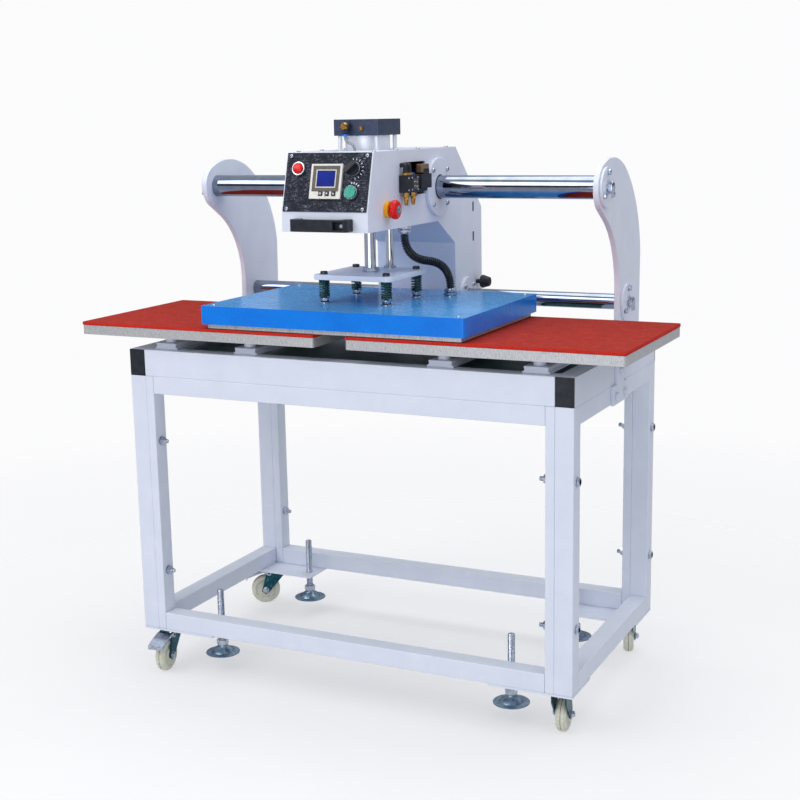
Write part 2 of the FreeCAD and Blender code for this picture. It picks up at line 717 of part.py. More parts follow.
def button_bezels():
    members = [panel_ring("red_bezel", RED[0], RED[1], "panel_thick", "14.5", "11.3", "7"),
               panel_ring("green_bezel", GREEN[0], GREEN[1], "panel_thick", "14.5", "13.2", "7"),
               panel_ring("selector_bezel", SELECTOR[0], SELECTOR[1], "panel_thick", "14.5", "11.3", "5")]
    return node("button_bezels", together("button_bezels", members))


def push_button(label, spot, profile, arcs):
    """A push cap standing in its bezel."""
    x, y, z = on_panel(spot[0], spot[1], "panel_thick + 4.5")
    return node(label, turned(label, PANEL_TURNED, x, y, z, profile, arcs))


def selector_knob():
    stem = panel_rod("selector_stem", SELECTOR[0], SELECTOR[1], "panel_thick + 2", "11", "8")
    grip = panel_bar("selector_grip", SELECTOR, "panel_thick + 9.5", "9", "27", "14", 45)
    skirt = panel_rod("selector_skirt", SELECTOR[0], SELECTOR[1], "panel_thick + 5.5", "14", "5")
    return node("selector_knob", fuse("selector_knob", [stem, skirt, grip]))


def handle():
    """A bridge handle across the lip, with room for fingers behind its bar and one screw pocket."""
    half = "66"
    points = [("-" + half, "0"), ("-%s" % half, "-26"), ("-%s + 6" % half, "-31"), ("%s - 6" % half, "-31"),
              (half, "-26"), (half, "0"), ("%s - 16" % half, "0"), ("%s - 20" % half, "-19"),
              ("20 - " + half, "-19"), ("16 - " + half, "0")]
    grip = plate("handle_bar", PLAN, "0", deep(LIP_Y), "head_under + 3", points, "25")
    pocket = box("handle_pocket", half + " - 31", deep("(%s) - 32" % LIP_Y), "head_under + 7", "23", "11", "17")
    return node("handle", cut("handle", grip, [pocket]))


def estop_collar():
    return node("estop_collar", tube("estop_collar", "x", "head_width / 2", deep("60"), "1085", "18", "9.3", "9"))


def estop_button():
    return node("estop_button", turned("estop_button", TURN_X, "head_width / 2 + 1", deep("60"), "1085",
                                       [("0", "2.2"), ("9", "2.2"), ("9", "12"), ("16", "12"), ("20", "15"),
                                        ("20", "20"), ("14", "25.5"), ("0", "26.5")], {5: ("7", -1)}))


def valve():
    """Solenoid valve on the right side: body, coil block and connector."""
    face = "head_width / 2 + 1"
    block = box("valve_block", face, deep("118"), "1116", "20", "96", "36")
    coil = box("valve_coil", face, deep("180"), "1122", "23", "52", "30")
    plug = box("valve_plug", face, deep("196"), "1151", "20", "30", "12")
    well = rod("valve_button_well", "z", "head_width / 2 + 12", deep("164.5"), "1146", "3.3", "20")
    return node("valve", cut("valve", fuse("valve_solid", [block, coil, plug]), [well]))


def valve_button():
    return node("valve_button", rod("valve_button", "z", "head_width / 2 + 12", deep("164.5"), "1149", "3", "7"))


def air_fittings():
    """Brass collars, mufflers and elbows of the valve and the cylinder."""
    x = "head_width / 2 + 11"
    members = []
    for index, y in enumerate(("128", "146")):
        members.append(rod("valve_collar_%d" % index, "z", x, deep(y), "1152", "6.5", "5"))
        members.append(rod("valve_elbow_%d" % index, "z", x, deep(y), "1157", "5.5", "22"))
    for index, y in enumerate(("130", "164")):
        nut = rod("muffler_nut_%d" % index, "z", x, deep(y), "1103", "7", "13")
        tip = cone("muffler_tip_%d" % index, "z", x, deep(y), "1089", "3.5", "6", "14")
        members.append(fuse("muffler_%d" % index, [nut, tip]))
    front = "press_y - cap_size / 2"
    stem = rod("cap_elbow_stem", "y", "-18", deep(front + " - 13"), "cap_under + 20", "7", "13")
    ball = doc.addObject("Part::Sphere", "cap_elbow_ball")
    bind(ball, "Radius", "8")
    put(ball, "-18", deep(front + " - 15"), "cap_under + 20")
    leg = rod("cap_elbow_leg", "z", "-18", deep(front + " - 15"), "cap_under - 1", "6.5", "20")
    members.append(fuse("cap_elbow", [stem, ball, leg]))
    members.append(rod("cap_port_plug", "y", "14", deep(front + " - 5"), "cap_under + 15", "4.5", "5"))
    return node("air_fittings", together("air_fittings", members))


def bumpers():
    """A conical rubber stop on a bolt on each side of the column."""
    members = []
    for side in (-1, 1):
        turn = TURN_X if side > 0 else FreeCAD.Rotation(FreeCAD.Vector(0, 0, 1), 90)
        members.append(turned("bumper_%d" % (side + 1), turn, "%d * head_width / 2" % side, deep("536"), "884",
                              [("0", "0"), ("5", "0"), ("5", "12"), ("13.5", "12"), ("16", "16"), ("10.5", "34"),
                               ("0", "36")]))
    return node("bumpers", together("bumpers", members))


# ---- press train ---------------------------------------------------------------------------------

BOLT_SPOTS = [(a, b) for a in (-1, 1) for b in (-1, 1)]
COVER_UNDER = "(cover_top - cover_height)"
PLATE_LOW = "(press_plate_top - press_plate_thick)"


def press_plate():
    half = "press_plate_size / 2"
    points, arcs = rounded_rectangle(half, half, "15")
    holes = [("%d * bolt_spacing / 2" % a, "%d * bolt_spacing / 2" % b, "5.5") for a, b in BOLT_SPOTS]
    return node("press_plate", plate("press_plate", PLAN, "0", deep("press_y"), PLATE_LOW, points,
                                     "press_plate_thick", arcs, holes))


def press_rods():
    """Piston rod and guide rod with the nuts that hold them to the plate."""
    piston = fuse("piston_rod", [
        rod("piston_shank", "z", "0", deep("press_y"), "press_plate_top", "rod_radius", "178"),
        hexagon("piston_nut", "z", "0", deep("press_y"), "press_plate_top", "34", "9")])
    under = hexagon("piston_low_nut", "z", "0", deep("press_y"), PLATE_LOW + " - 8", "26", "8")
    guide = fuse("guide_rod", [
        rod("guide_shank", "z", "guide_x", deep("guide_y"), "press_plate_top", "guide_radius", "190"),
        rod("guide_flange", "z", "guide_x", deep("guide_y"), "press_plate_top", "14", "5")])
    return node("press_rods", together("press_rods", [piston, under, guide]))


def heat_cover():
    points, arcs = rounded_rectangle("cover_width / 2", "cover_depth / 2", "5")
    outer = plate("cover_outer", PLAN, "0", deep("press_y"), COVER_UNDER, points, "cover_height", arcs)
    inner = box("cover_hollow", "1.5 - cover_width / 2", deep("press_y + 1.5 - cover_depth / 2"),
                COVER_UNDER + " - 1", "cover_width - 3", "cover_depth - 3", "cover_height - 1")
    return node("heat_cover", cut("heat_cover", outer, [inner]))


def heat_plate():
    low = "(platen_under + platen_thick + pad_thick + press_gap)"
    points, arcs = rounded_rectangle("heat_width / 2", "heat_depth / 2", "4")
    slab = plate("heat_slab", PLAN, "0", deep("press_y"), low, points, "24", arcs)
    posts = [rod("heat_post_%d%d" % (a + 1, b + 1), "z", "%d * bolt_spacing / 2" % a,
                 deep("press_y + %d * bolt_spacing / 2" % b), low + " + 20", "9",
                 "cover_top - 2 - (%s + 20)" % low) for a, b in BOLT_SPOTS]
    return node("heat_plate", fuse("heat_plate", [slab] + posts))


def spring_bolts():
    """The four long screws the heating plate hangs on, with their nuts and washers."""
    members = []
    for a, b in BOLT_SPOTS:
        name = "spring_bolt_%d%d" % (a + 1, b + 1)
        x = "%d * bolt_spacing / 2" % a
        y = deep("press_y + %d * bolt_spacing / 2" % b)
        members.append(fuse(name, [
            rod(name + "_shank", "z", x, y, "cover_top", "5", "press_plate_top - cover_top + 2"),
            rod(name + "_head", "z", x, y, "press_plate_top + slack", "8", "6"),
            rod(name + "_washer", "z", x, y, "cover_top", "12", "2"),
            rod(name + "_collar", "z", x, y, "cover_top + 2", "9", "2"),
            hexagon(name + "_nut", "z", x, y, "cover_top + 4", "17", "5.5"),
            rod(name + "_seat", "z", x, y, "cover_top + 9.5", "12.4", "1.5")]))
    return node("spring_bolts", together("spring_bolts", members))


def springs():
    """Coil springs between the square plate and the nuts."""
    members = []
    low = "cover_top + 11 + 1.9"
    for a, b in BOLT_SPOTS:
        name = "spring_%d%d" % (a + 1, b + 1)
        coil = doc.addObject("Part::Helix", name + "_coil")
        bind(coil, "Pitch", "4.7")
        bind(coil, "Height", "%s - 1.9 - (%s)" % (PLATE_LOW, low))
        bind(coil, "Radius", "10.4")
        section = doc.addObject("Part::Circle", name + "_wire")
        bind(section, "Radius", "1.8")
        x = "%d * bolt_spacing / 2" % a
        y = deep("press_y + %d * bolt_spacing / 2" % b)
        put(coil, x, y, low)
        put(section, x + " + 10.4", y, low, FreeCAD.Rotation(FreeCAD.Vector(1, 0, 0), 90))
        swept = doc.addObject("Part::Sweep", name)
        swept.Sections = [section]
        swept.Spine = (coil, ["Edge1"])
        swept.Solid = True
        swept.Frenet = True
        members.append(swept)
    return node("springs", together("springs", members))


def rounded_route(name, corners):
    """A wire of straight runs joined by tangent arcs, each as large as its shorter run allows."""
    spots = [FreeCAD.Vector(number(x), number(y), number(z)) for x, y, z in corners]
    edges = []
    last = spots[0]
    for i in range(1, len(spots) - 1):
        come = spots[i] - spots[i - 1]
        go = spots[i + 1] - spots[i]
        turn = come.getAngle(go)
        reach = 0.45 * min(come.Length, go.Length)
        radius = reach / math.tan(turn / 2)
        come.normalize()
        go.normalize()
        start = spots[i] - come * reach
        end = spots[i] + go * reach
        inward = (go - come).normalize()
        middle = spots[i] + inward * (radius / math.cos(turn / 2) - radius)
        edges.append(Part.LineSegment(last, start).toShape())
        edges.append(Part.Arc(start, middle, end).toShape())
        print("%s corner %d: radius %.1f mm" % (name, i, radius))
        last = end
    edges.append(Part.LineSegment(last, spots[-1]).toShape())
    return Part.Wire(edges)


def hose(label, corners, radius):
    """A round hose swept along a rounded route that starts straight up or down."""
    route = rounded_route(label, corners)
    start = route.Vertexes[0].Point
    ring = Part.Wire([Part.Circle(start, FreeCAD.Vector(0, 0, 1), number(radius)).toShape()])
    shape = route.makePipeShell([ring], True, True)
    ideal = math.pi * number(radius) ** 2 * route.Length
    print("%s length %.1f mm, volume %.4f of section x length" % (label, route.Length, shape.Volume / ideal))
    thing = doc.addObject("Part::Feature", label)
    thing.Shape = shape
    return node(label, thing)


GLAND_X, GLAND_Y = "75", "193"             # where the heater conduit leaves the head
COVER_GLAND_X, COVER_GLAND_Y = "142", "285"  # where it enters the cover


def conduit():
    top = "head_under - 19"
    low = "cover_top + 18"
    return hose("conduit", [(GLAND_X, deep(GLAND_Y), top), (GLAND_X, deep(GLAND_Y), "cover_top + 90"),
                            (COVER_GLAND_X, deep(COVER_GLAND_Y), "cover_top + 74"),
                            (COVER_GLAND_X, deep(COVER_GLAND_Y), low)], "9.5")


def head_gland():
    body_nut = hexagon("head_gland_nut", "z", GLAND_X, deep(GLAND_Y), "head_under - 10", "27", "10")
    cap = rod("head_gland_cap", "z", GLAND_X, deep(GLAND_Y), "head_under - 19", "12", "9")
    return node("head_gland", fuse("head_gland", [body_nut, cap]))


def cover_gland():
    body_nut = hexagon("cover_gland_nut", "z", COVER_GLAND_X, deep(COVER_GLAND_Y), "cover_top", "27", "9")
    cap = rod("cover_gland_cap", "z", COVER_GLAND_X, deep(COVER_GLAND_Y), "cover_top + 9", "12", "9")
    return node("cover_gland", fuse("cover_gland", [body_nut, cap]))


def air_tube():
    front = "press_y - cap_size / 2 - 15"
    return hose("air_tube", [("-18", deep(front), "cap_under - 1"), ("-18", deep(front), "cap_under - 13"),
                             ("6", deep(front + " - 4"), "cap_under - 18"), ("6", deep(front + " - 4"), "head_top")],
                "3")


# ---- castors and levelling feet --------------------------------------------------------------------

CORNERS = {"front_left": (-1, -1, 277), "front_right": (1, -1, 96), "rear_left": (-1, 1, 211),
           "rear_right": (1, 1, 106)}
# each corner: side, row and the direction its wheel trails in, in degrees from +X
BRAKED = ("front_left", "rear_left")
BRAKE_PIVOT = ("18", "84")      # trail and height of the pedal's pivot pin


def corner_y(row, distance):
    return distance if row < 0 else "table_depth - %s" % distance


def carried(thing, corner, x, y, z, turn):
    """Place a castor piece given in the castor's own directions: x trails, z up, swivel at the origin."""
    side, row, angle = CORNERS[corner]
    yaw = FreeCAD.Rotation(FreeCAD.Vector(0, 0, 1), angle)
    world_x = "%d * castor_x + (%s) * cos(%d) - (%s) * sin(%d)" % (side, x, angle, y, angle)
    world_y = "%s + (%s) * sin(%d) + (%s) * cos(%d)" % (deep(corner_y(row, "castor_y")), x, angle, y, angle)
    return put(thing, world_x, world_y, z, yaw.multiply(turn))


def castor_fork(corner):
    name = "fork_" + corner
    parts = [carried(rod(name + "_race", "z", "0", "0", "0", "22", "7"), corner, "0", "0", "plate_under - 7 - slack",
                     Z_AXIS)]
    bridge = box(name + "_bridge", "0", "0", "0", "42", "wheel_width + 9", "3")
    parts.append(carried(bridge, corner, "-20", "-(wheel_width + 9) / 2", "plate_under - 10 - slack", PLAN))
    top = "plate_under - 7.5 - slack"
    points = [("-20", top), ("-20", "plate_under - 26"), ("trail - 11", "wheel_radius - 4"),
              ("trail", "wheel_radius - 12"), ("trail + 11", "wheel_radius - 4"), ("22", top)]
    for side in (-1, 1):
        leg = plate("%s_leg%d" % (name, side + 1), PLAN, "0", "0", "0", points, "3")
        y = "%s + 3" % ("(wheel_width + 3) / 2" if side > 0 else "-(wheel_width + 9) / 2")
        parts.append(carried(leg, corner, "0", y, "0", FRONT))
    axle = rod(name + "_axle", "y", "0", "0", "0", "4.2", "wheel_width + 22")
    parts.append(carried(axle, corner, "trail", "-(wheel_width + 22) / 2", "wheel_radius", Y_AXIS))
    if corner in BRAKED:
        pin = rod(name + "_brake_pin", "y", "0", "0", "0", "brake_pin_radius", "wheel_width + 16")
        parts.append(carried(pin, corner, BRAKE_PIVOT[0], "-(wheel_width + 16) / 2", BRAKE_PIVOT[1], Y_AXIS))
    return node(name, fuse(name, parts))


def castor_wheel(corner):
    name = "wheel_" + corner
    half = "wheel_width / 2"
    points = [("4.25", "-" + half), ("11", "-" + half), ("13", "3 - " + half), ("25", "3 - " + half),
              ("27", "-" + half), ("wheel_radius - 6", "-" + half), ("wheel_radius", "5 - " + half),
              ("wheel_radius", half + " - 5"), ("wheel_radius - 6", half), ("27", half), ("25", half + " - 3"),
              ("13", half + " - 3"), ("11", half), ("4.25", half)]
    wheel = turned(name, PLAN, "0", "0", "0", points)
    return node(name, carried(wheel, corner, "trail", "0", "wheel_radius", PLAN))


def castor_brake(corner):
    name = "brake_" + corner
    points = [("28", "85.5"), ("28", "89.5"), ("31", "90"), ("54", "84"), ("79", "75"), ("79", "66"),
              ("76.5", "66"), ("76.5", "72"), ("53", "80.5"), ("31", "86.5")]
    pedal = plate(name + "_pedal", PLAN, "0", "0", "0", points, "38")
    parts = [carried(pedal, corner, "0", "19", "0", FRONT)]
    ear = [("12", "80"), ("18", "77"), ("31", "84"), ("31", "90"), ("14", "90")]
    pivot = (BRAKE_PIVOT[0], BRAKE_PIVOT[1], "brake_pin_radius + 0.05")
    for index, y in enumerate(("-17", "19")):
        side = plate("%s_ear%d" % (name, index), PLAN, "0", "0", "0", ear, "2", holes=[pivot])
        parts.append(carried(side, corner, "0", y, "0", FRONT))
    return node(name, fuse(name, parts))


def foot(corner):
    side, row, angle = CORNERS[corner]
    name = "foot_" + corner
    x = "%d * foot_x" % side
    y = deep(corner_y(row, "foot_y"))
    low = "foot_disc_under"
    disc = turned(name + "_disc", TURN_Z, x, y, low,
                  [("0", "0"), ("foot_disc_radius", "0"), ("foot_disc_radius", "2"), ("28", "4"), ("22", "12"),
                   ("12", "16"), ("12", "20"), ("0", "20")])
    nut = hexagon(name + "_nut", "z", x, y, low + " + 20", "24", "13")
    screw = rod(name + "_rod", "z", x, y, low + " + 10", "foot_rod_radius", "foot_rod_top - foot_disc_under - 10")
    return node(name, fuse(name, [disc, nut, screw]))


# ---- build all and write ---------------------------------------------------------------------------

upper_frame()
rail_end_caps()
table_panel()
side_frames()
cross_frames()
corner_plates()
frame_bolts()
joint_plates()
platens()
pads()
platen_bars()
end_plates()
end_discs()
end_bolts()
shafts()
head_shell()
head_bearings()
head_screws()
cylinder()
cylinder_cap()
air_fittings()
air_tube()
control_panel()
controller()
button_bezels()
handle()
estop_collar()
valve()
head_gland()
bumpers()
press_plate()
press_rods()
heat_cover()
heat_plate()
spring_bolts()
springs()
conduit()
cover_gland()
push_button("red_button", RED, [("0", "0"), ("11", "0"), ("11", "6"), ("7", "8.2"), ("0", "8.6")], {2: ("6", -1)})
push_button("green_button", GREEN, [("0", "0"), ("12.9", "0"), ("12.9", "4.6"), ("12.1", "5.4"), ("0", "5.4")], {})
selector_knob()
for key_label, key_x in zip(("key_left", "key_middle", "key_right"), KEY_XS):
    key(key_label, key_x)
estop_button()
valve_button()
for place_name in CORNERS:
    castor_fork(place_name)
    castor_wheel(place_name)
    foot(place_name)
for place_name in BRAKED:
    castor_brake(place_name)

doc.recompute()

faults = ["%s %s" % (thing.Name, thing.State) for thing in doc.Objects
          if "Invalid" in thing.State or "Error" in thing.State]
for thing in nodes:
    if thing.Shape.isNull() or not thing.Shape.isValid() or not thing.Shape.Solids:
        faults.append("%s has no good shape" % thing.Label)
if faults:
    raise RuntimeError("; ".join(faults))

whole = FreeCAD.BoundBox()
for thing in nodes:
    whole.add(thing.Shape.BoundBox)
    thing.Shape.exportStep("parts/%s.step" % thing.Label)
print("%d sub-parts, box X %.1f..%.1f Y %.1f..%.1f Z %.1f..%.1f" % (
    len(nodes), whole.XMin, whole.XMax, whole.YMin, whole.YMax, whole.ZMin, whole.ZMax))
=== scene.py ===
"""Double-station heat press: materials, small hardware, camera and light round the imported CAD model."""

import json
import math

import bmesh
import bpy
from mathutils import Matrix, Vector


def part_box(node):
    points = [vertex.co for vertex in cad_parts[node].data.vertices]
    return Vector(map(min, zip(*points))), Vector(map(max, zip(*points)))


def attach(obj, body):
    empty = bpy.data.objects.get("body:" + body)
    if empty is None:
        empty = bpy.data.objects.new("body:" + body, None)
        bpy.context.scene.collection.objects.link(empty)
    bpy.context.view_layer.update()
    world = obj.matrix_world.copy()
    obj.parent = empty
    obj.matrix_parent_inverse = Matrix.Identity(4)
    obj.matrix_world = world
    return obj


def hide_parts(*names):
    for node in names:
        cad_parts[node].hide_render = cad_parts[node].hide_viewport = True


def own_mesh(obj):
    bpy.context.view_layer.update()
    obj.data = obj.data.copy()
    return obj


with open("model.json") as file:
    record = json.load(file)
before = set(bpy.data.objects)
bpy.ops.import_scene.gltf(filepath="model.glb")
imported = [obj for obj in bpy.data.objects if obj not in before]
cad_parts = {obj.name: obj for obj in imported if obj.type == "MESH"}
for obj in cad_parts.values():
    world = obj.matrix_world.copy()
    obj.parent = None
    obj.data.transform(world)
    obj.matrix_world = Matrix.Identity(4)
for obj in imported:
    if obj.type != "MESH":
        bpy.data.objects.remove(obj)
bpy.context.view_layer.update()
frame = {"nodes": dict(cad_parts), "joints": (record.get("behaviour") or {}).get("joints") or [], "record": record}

MM = 0.001
RECORD = frame["record"]
SLOT_OF = {part["node"]: part["material_slot"] for part in RECORD["subparts"]}
BODY_OF = {node: body for body, members in RECORD["behaviour"]["bodies"].items() for node in members}
JOINTS = {joint["name"]: joint for joint in frame["joints"]}
ROUND = 2 * math.pi

X = Vector((1, 0, 0))
Y = Vector((0, 1, 0))
Z = Vector((0, 0, 1))


# ---- camera, light and floor ----

def placed(name, data):
    """A new object in the scene."""
    made = bpy.data.objects.new(name, data)
    bpy.context.scene.collection.objects.link(made)
    return made


def mesh_object(name, bm):
    """Turns a bmesh into an object in the scene."""
    data = bpy.data.meshes.new(name)
    bm.to_mesh(data)
    bm.free()
    return placed(name, data)


CAMERA_SPOT = Vector((1.3866, -2.80655, 1.2697))
CAMERA_YAW, CAMERA_PITCH, CAMERA_ROLL = 0.4531, -0.1995, -0.0187     # radians
SENSOR = 36.0
LENS = 62.74


def make_camera():
    """The camera, aimed by its yaw, pitch and roll."""
    data = bpy.data.cameras.new("camera")
    data.lens = LENS
    data.sensor_width = SENSOR
    camera = placed("camera", data)
    level = math.cos(CAMERA_PITCH)
    ahead = Vector((-math.sin(CAMERA_YAW) * level, math.cos(CAMERA_YAW) * level, math.sin(CAMERA_PITCH)))
    right = Vector((math.cos(CAMERA_YAW), math.sin(CAMERA_YAW), 0))
    above = right.cross(ahead)
    tilt_right = right * math.cos(CAMERA_ROLL) + above * math.sin(CAMERA_ROLL)
    tilt_above = above * math.cos(CAMERA_ROLL) - right * math.sin(CAMERA_ROLL)
    turn = Matrix((tilt_right, tilt_above, -ahead)).transposed().to_4x4()
    camera.matrix_world = Matrix.Translation(CAMERA_SPOT) @ turn
    bpy.context.scene.camera = camera


def soft_light(name, spot, target, size, power, tint=(1, 1, 1)):
    """A rectangular light aimed at a point, its size in metres and its power in watts."""
    data = bpy.data.lights.new(name, "AREA")
    data.shape = "RECTANGLE"
    data.size, data.size_y = size
    data.energy = power
    data.color = tint
    lamp = placed(name, data)
    lamp.location = spot
    lamp.rotation_mode = "QUATERNION"
    lamp.rotation_quaternion = (Vector(target) - Vector(spot)).to_track_quat("-Z", "Y")


def set_stops(band, stops):
    """Gives a colour ramp its stops. A stop is (position, colour or grey)."""
    elements = band.color_ramp.elements
    while len(elements) < len(stops):
        elements.new(0.5)
    for element, (position, value) in zip(elements, stops):
        element.position = position
        element.color = (*value, 1) if isinstance(value, tuple) else (value, value, value, 1)


SKY = ((0.0, (0.76, 0.78, 0.84)), (0.02, (0.06, 0.07, 0.10)), (0.22, (0.14, 0.16, 0.22)),
       (0.40, (0.90, 0.94, 1.0)), (1.0, (0.95, 0.97, 1.0)))      # from the horizon to straight up
SKY_STRENGTH = 0.66
BACKDROP = (0.97, 0.97, 0.98, 1)


class Wiring:
    """The nodes of a world or a material that is being wired up."""

    def __init__(self, owner):
        owner.use_nodes = True
        self.tree = owner.node_tree

    def add(self, kind, **settings):
        made = self.tree.nodes.new(kind)
        for key, value in settings.items():
            setattr(made, key, value)
        return made

    def link(self, source, target):
        self.tree.links.new(source, target)

    def choose(self, fac, first, second, end):
        """Sends the first shader to an end node where fac is 0, and the second where it is 1."""
        made = self.add("ShaderNodeMixShader")
        for place, source in enumerate((fac, first, second)):
            self.link(source, made.inputs[place])
        self.link(made.outputs["Shader"], self.tree.nodes[end].inputs["Surface"])


def make_world():
    """White above and dim near the horizon, so that bright metal has something dark to mirror."""
    world = bpy.data.worlds.new("studio")
    bpy.context.scene.world = world
    sky = Wiring(world)
    height = sky.add("ShaderNodeSeparateXYZ")
    sky.link(sky.add("ShaderNodeTexCoord").outputs["Generated"], height.inputs["Vector"])
    band = sky.add("ShaderNodeValToRGB")
    set_stops(band, SKY)
    sky.link(height.outputs["Z"], band.inputs["Fac"])
    glow = sky.tree.nodes["Background"]
    glow.inputs["Strength"].default_value = SKY_STRENGTH
    sky.link(band.outputs["Color"], glow.inputs["Color"])
    seen = sky.add("ShaderNodeBackground")
    seen.inputs["Color"].default_value = BACKDROP
    from_camera = sky.add("ShaderNodeLightPath").outputs["Is Camera Ray"]
    sky.choose(from_camera, glow.outputs["Background"], seen.outputs["Background"], "World Output")


FLOOR_REACH = 9.0                    # metres from the middle to the floor's edges


def make_floor(look):
    """A large square floor that isn't part of the object."""
    bm = bmesh.new()
    bmesh.ops.create_grid(bm, x_segments=12, y_segments=12, size=FLOOR_REACH)
    floor = mesh_object("floor", bm)
    floor.data.materials.append(look)


# ---- materials ----

def tone(red, green, blue):
    """A colour given as it looks on a screen, 0 to 255, as the linear colour that shaders take."""
    return tuple((c / 255 / 12.92) if c / 255 <= 0.04045 else ((c / 255 + 0.055) / 1.055) ** 2.4
                 for c in (red, green, blue))


class Look(Wiring):
    """A procedural material that is being wired up. Sizes are in millimetres."""

    def __init__(self, name, colour, rough, metal=0.0, **sockets):
        self.name = name
        self.material = bpy.data.materials.new(name)
        super().__init__(self.material)
        self.shader = self.tree.nodes["Principled BSDF"]
        self.shader.inputs["Base Color"].default_value = (*colour, 1)
        self.shader.inputs["Roughness"].default_value = rough
        self.shader.inputs["Metallic"].default_value = metal
        for socket, value in sockets.items():
            self.shader.inputs[socket.replace("_", " ")].default_value = value
        self.place = self.add("ShaderNodeTexCoord").outputs["Object"]
        self.last_normal = None

    def noise(self, size, detail=3.0, rough=0.55, stretch=(1, 1, 1)):
        """Noise with grains about "size" across, drawn out along an axis by its stretch."""
        spread = self.add("ShaderNodeMapping")
        spread.inputs["Scale"].default_value = tuple(1 / (size * MM * s) for s in stretch)
        self.link(self.place, spread.inputs["Vector"])
        made = self.add("ShaderNodeTexNoise")
        made.inputs["Scale"].default_value = 1.0
        made.inputs["Detail"].default_value = detail
        made.inputs["Roughness"].default_value = rough
        self.link(spread.outputs["Vector"], made.inputs["Vector"])
        return made.outputs["Fac"]

    def cells(self, size):
        made = self.add("ShaderNodeTexVoronoi")
        made.inputs["Scale"].default_value = 1 / (size * MM)
        self.link(self.place, made.inputs["Vector"])
        return made.outputs["Distance"]

    def ramp(self, fac, *stops):
        """A colour or grey that follows fac. A stop is (position, colour or grey)."""
        made = self.add("ShaderNodeValToRGB")
        set_stops(made, stops)
        self.link(fac, made.inputs["Fac"])
        return made.outputs["Color"]

    def mix(self, fac, first, second, mode="MIX"):
        made = self.add("ShaderNodeMix", data_type="RGBA", blend_type=mode)
        for slot, value in ((0, fac), (6, first), (7, second)):
            if isinstance(value, (int, float)):
                made.inputs[slot].default_value = value
            elif isinstance(value, tuple):
                made.inputs[slot].default_value = (*value, 1)
            else:
                self.link(value, made.inputs[slot])
        return made.outputs[2]

    def upward(self):
        """How far the surface faces up: 1 on top, 0 on a wall, negative underneath."""
        parts = self.add("ShaderNodeSeparateXYZ")
        self.link(self.add("ShaderNodeNewGeometry").outputs["Normal"], parts.inputs["Vector"])
        return parts.outputs["Z"]

    def colour(self, source):
        self.link(source, self.shader.inputs["Base Color"])
        return self

    def roughness(self, source):
        self.link(source, self.shader.inputs["Roughness"])
        return self

    def bump(self, height, depth, strength):
        """Relief "depth" deep; several of them add up."""
        made = self.add("ShaderNodeBump")
        made.inputs["Strength"].default_value = strength
        made.inputs["Distance"].default_value = depth * MM
        self.link(height, made.inputs["Height"])
        if self.last_normal is not None:
            self.link(self.last_normal, made.inputs["Normal"])
        self.link(made.outputs["Normal"], self.shader.inputs["Normal"])
        self.last_normal = made.outputs["Normal"]
        return self

    def mottle(self, size, detail, dark, light, full=0.7):
        """Drifts between two screen colours in patches about "size" across."""
        return self.colour(self.ramp(self.noise(size, detail), (0.3, tone(*dark)), (full, tone(*light))))

    def sheen(self, size, detail, low, high, full=0.7):
        """Roughness that drifts from low to high in patches about "size" across."""
        return self.roughness(self.ramp(self.noise(size, detail), (0.3, low), (full, high)))

    def grain(self, size, detail, depth, strength):
        """Relief with grains about "size" across."""
        return self.bump(self.noise(size, detail), depth, strength)


def white_paint():
    look = Look("white_paint", tone(228, 231, 239), 0.36, Coat_Weight=0.15, Coat_Roughness=0.2)
    look.mottle(60, 4, (222, 227, 241), (229, 233, 246))
    look.sheen(9, 3, 0.32, 0.42, 0.75)
    return look.grain(1.1, 2, 0.035, 0.5).grain(14, 2, 0.12, 0.25)


def floor_paint():
    """Pale floor that fades into the backdrop before it reaches the horizon."""
    look = Look("floor", (0.86, 0.86, 0.875), 0.75)
    look.colour(look.ramp(look.noise(350, 3), (0.3, (0.85, 0.85, 0.865)), (0.7, (0.875, 0.875, 0.885))))
    reach = look.add("ShaderNodeVectorMath", operation="LENGTH")
    look.link(look.place, reach.inputs[0])
    share = look.add("ShaderNodeMath", operation="DIVIDE")
    share.inputs[1].default_value = FLOOR_REACH
    look.link(reach.outputs["Value"], share.inputs[0])
    fade = look.ramp(share.outputs["Value"], (0.0, 0.4), (0.30, 1.0))
    clear = look.add("ShaderNodeBsdfTransparent").outputs["BSDF"]
    look.choose(fade, look.shader.outputs["BSDF"], clear, "Material Output")
    return look


def black_plastic():
    look = Look("black_plastic", tone(30, 32, 39), 0.42, Specular_IOR_Level=0.35)
    look.mottle(12, 4, (24, 26, 33), (42, 46, 56), 0.75)
    look.sheen(4, 3, 0.36, 0.52)
    return look.grain(0.7, 2, 0.05, 0.5)


def green_panel():
    look = Look("green_panel", tone(60, 100, 94), 0.34, Coat_Weight=0.2, Coat_Roughness=0.15)
    look.mottle(40, 4, (52, 90, 86), (74, 116, 110))
    return look.grain(2, 2, 0.05, 0.4)


def zinc():
    look = Look("zinc", tone(196, 204, 220), 0.26, 1.0)
    look.colour(look.ramp(look.noise(6, 4), (0.25, tone(138, 156, 190)), (0.5, tone(196, 204, 218)),
                          (0.8, tone(226, 222, 210))))
    look.sheen(2, 3, 0.16, 0.36, 0.75)
    return look.grain(1.2, 3, 0.04, 0.5)


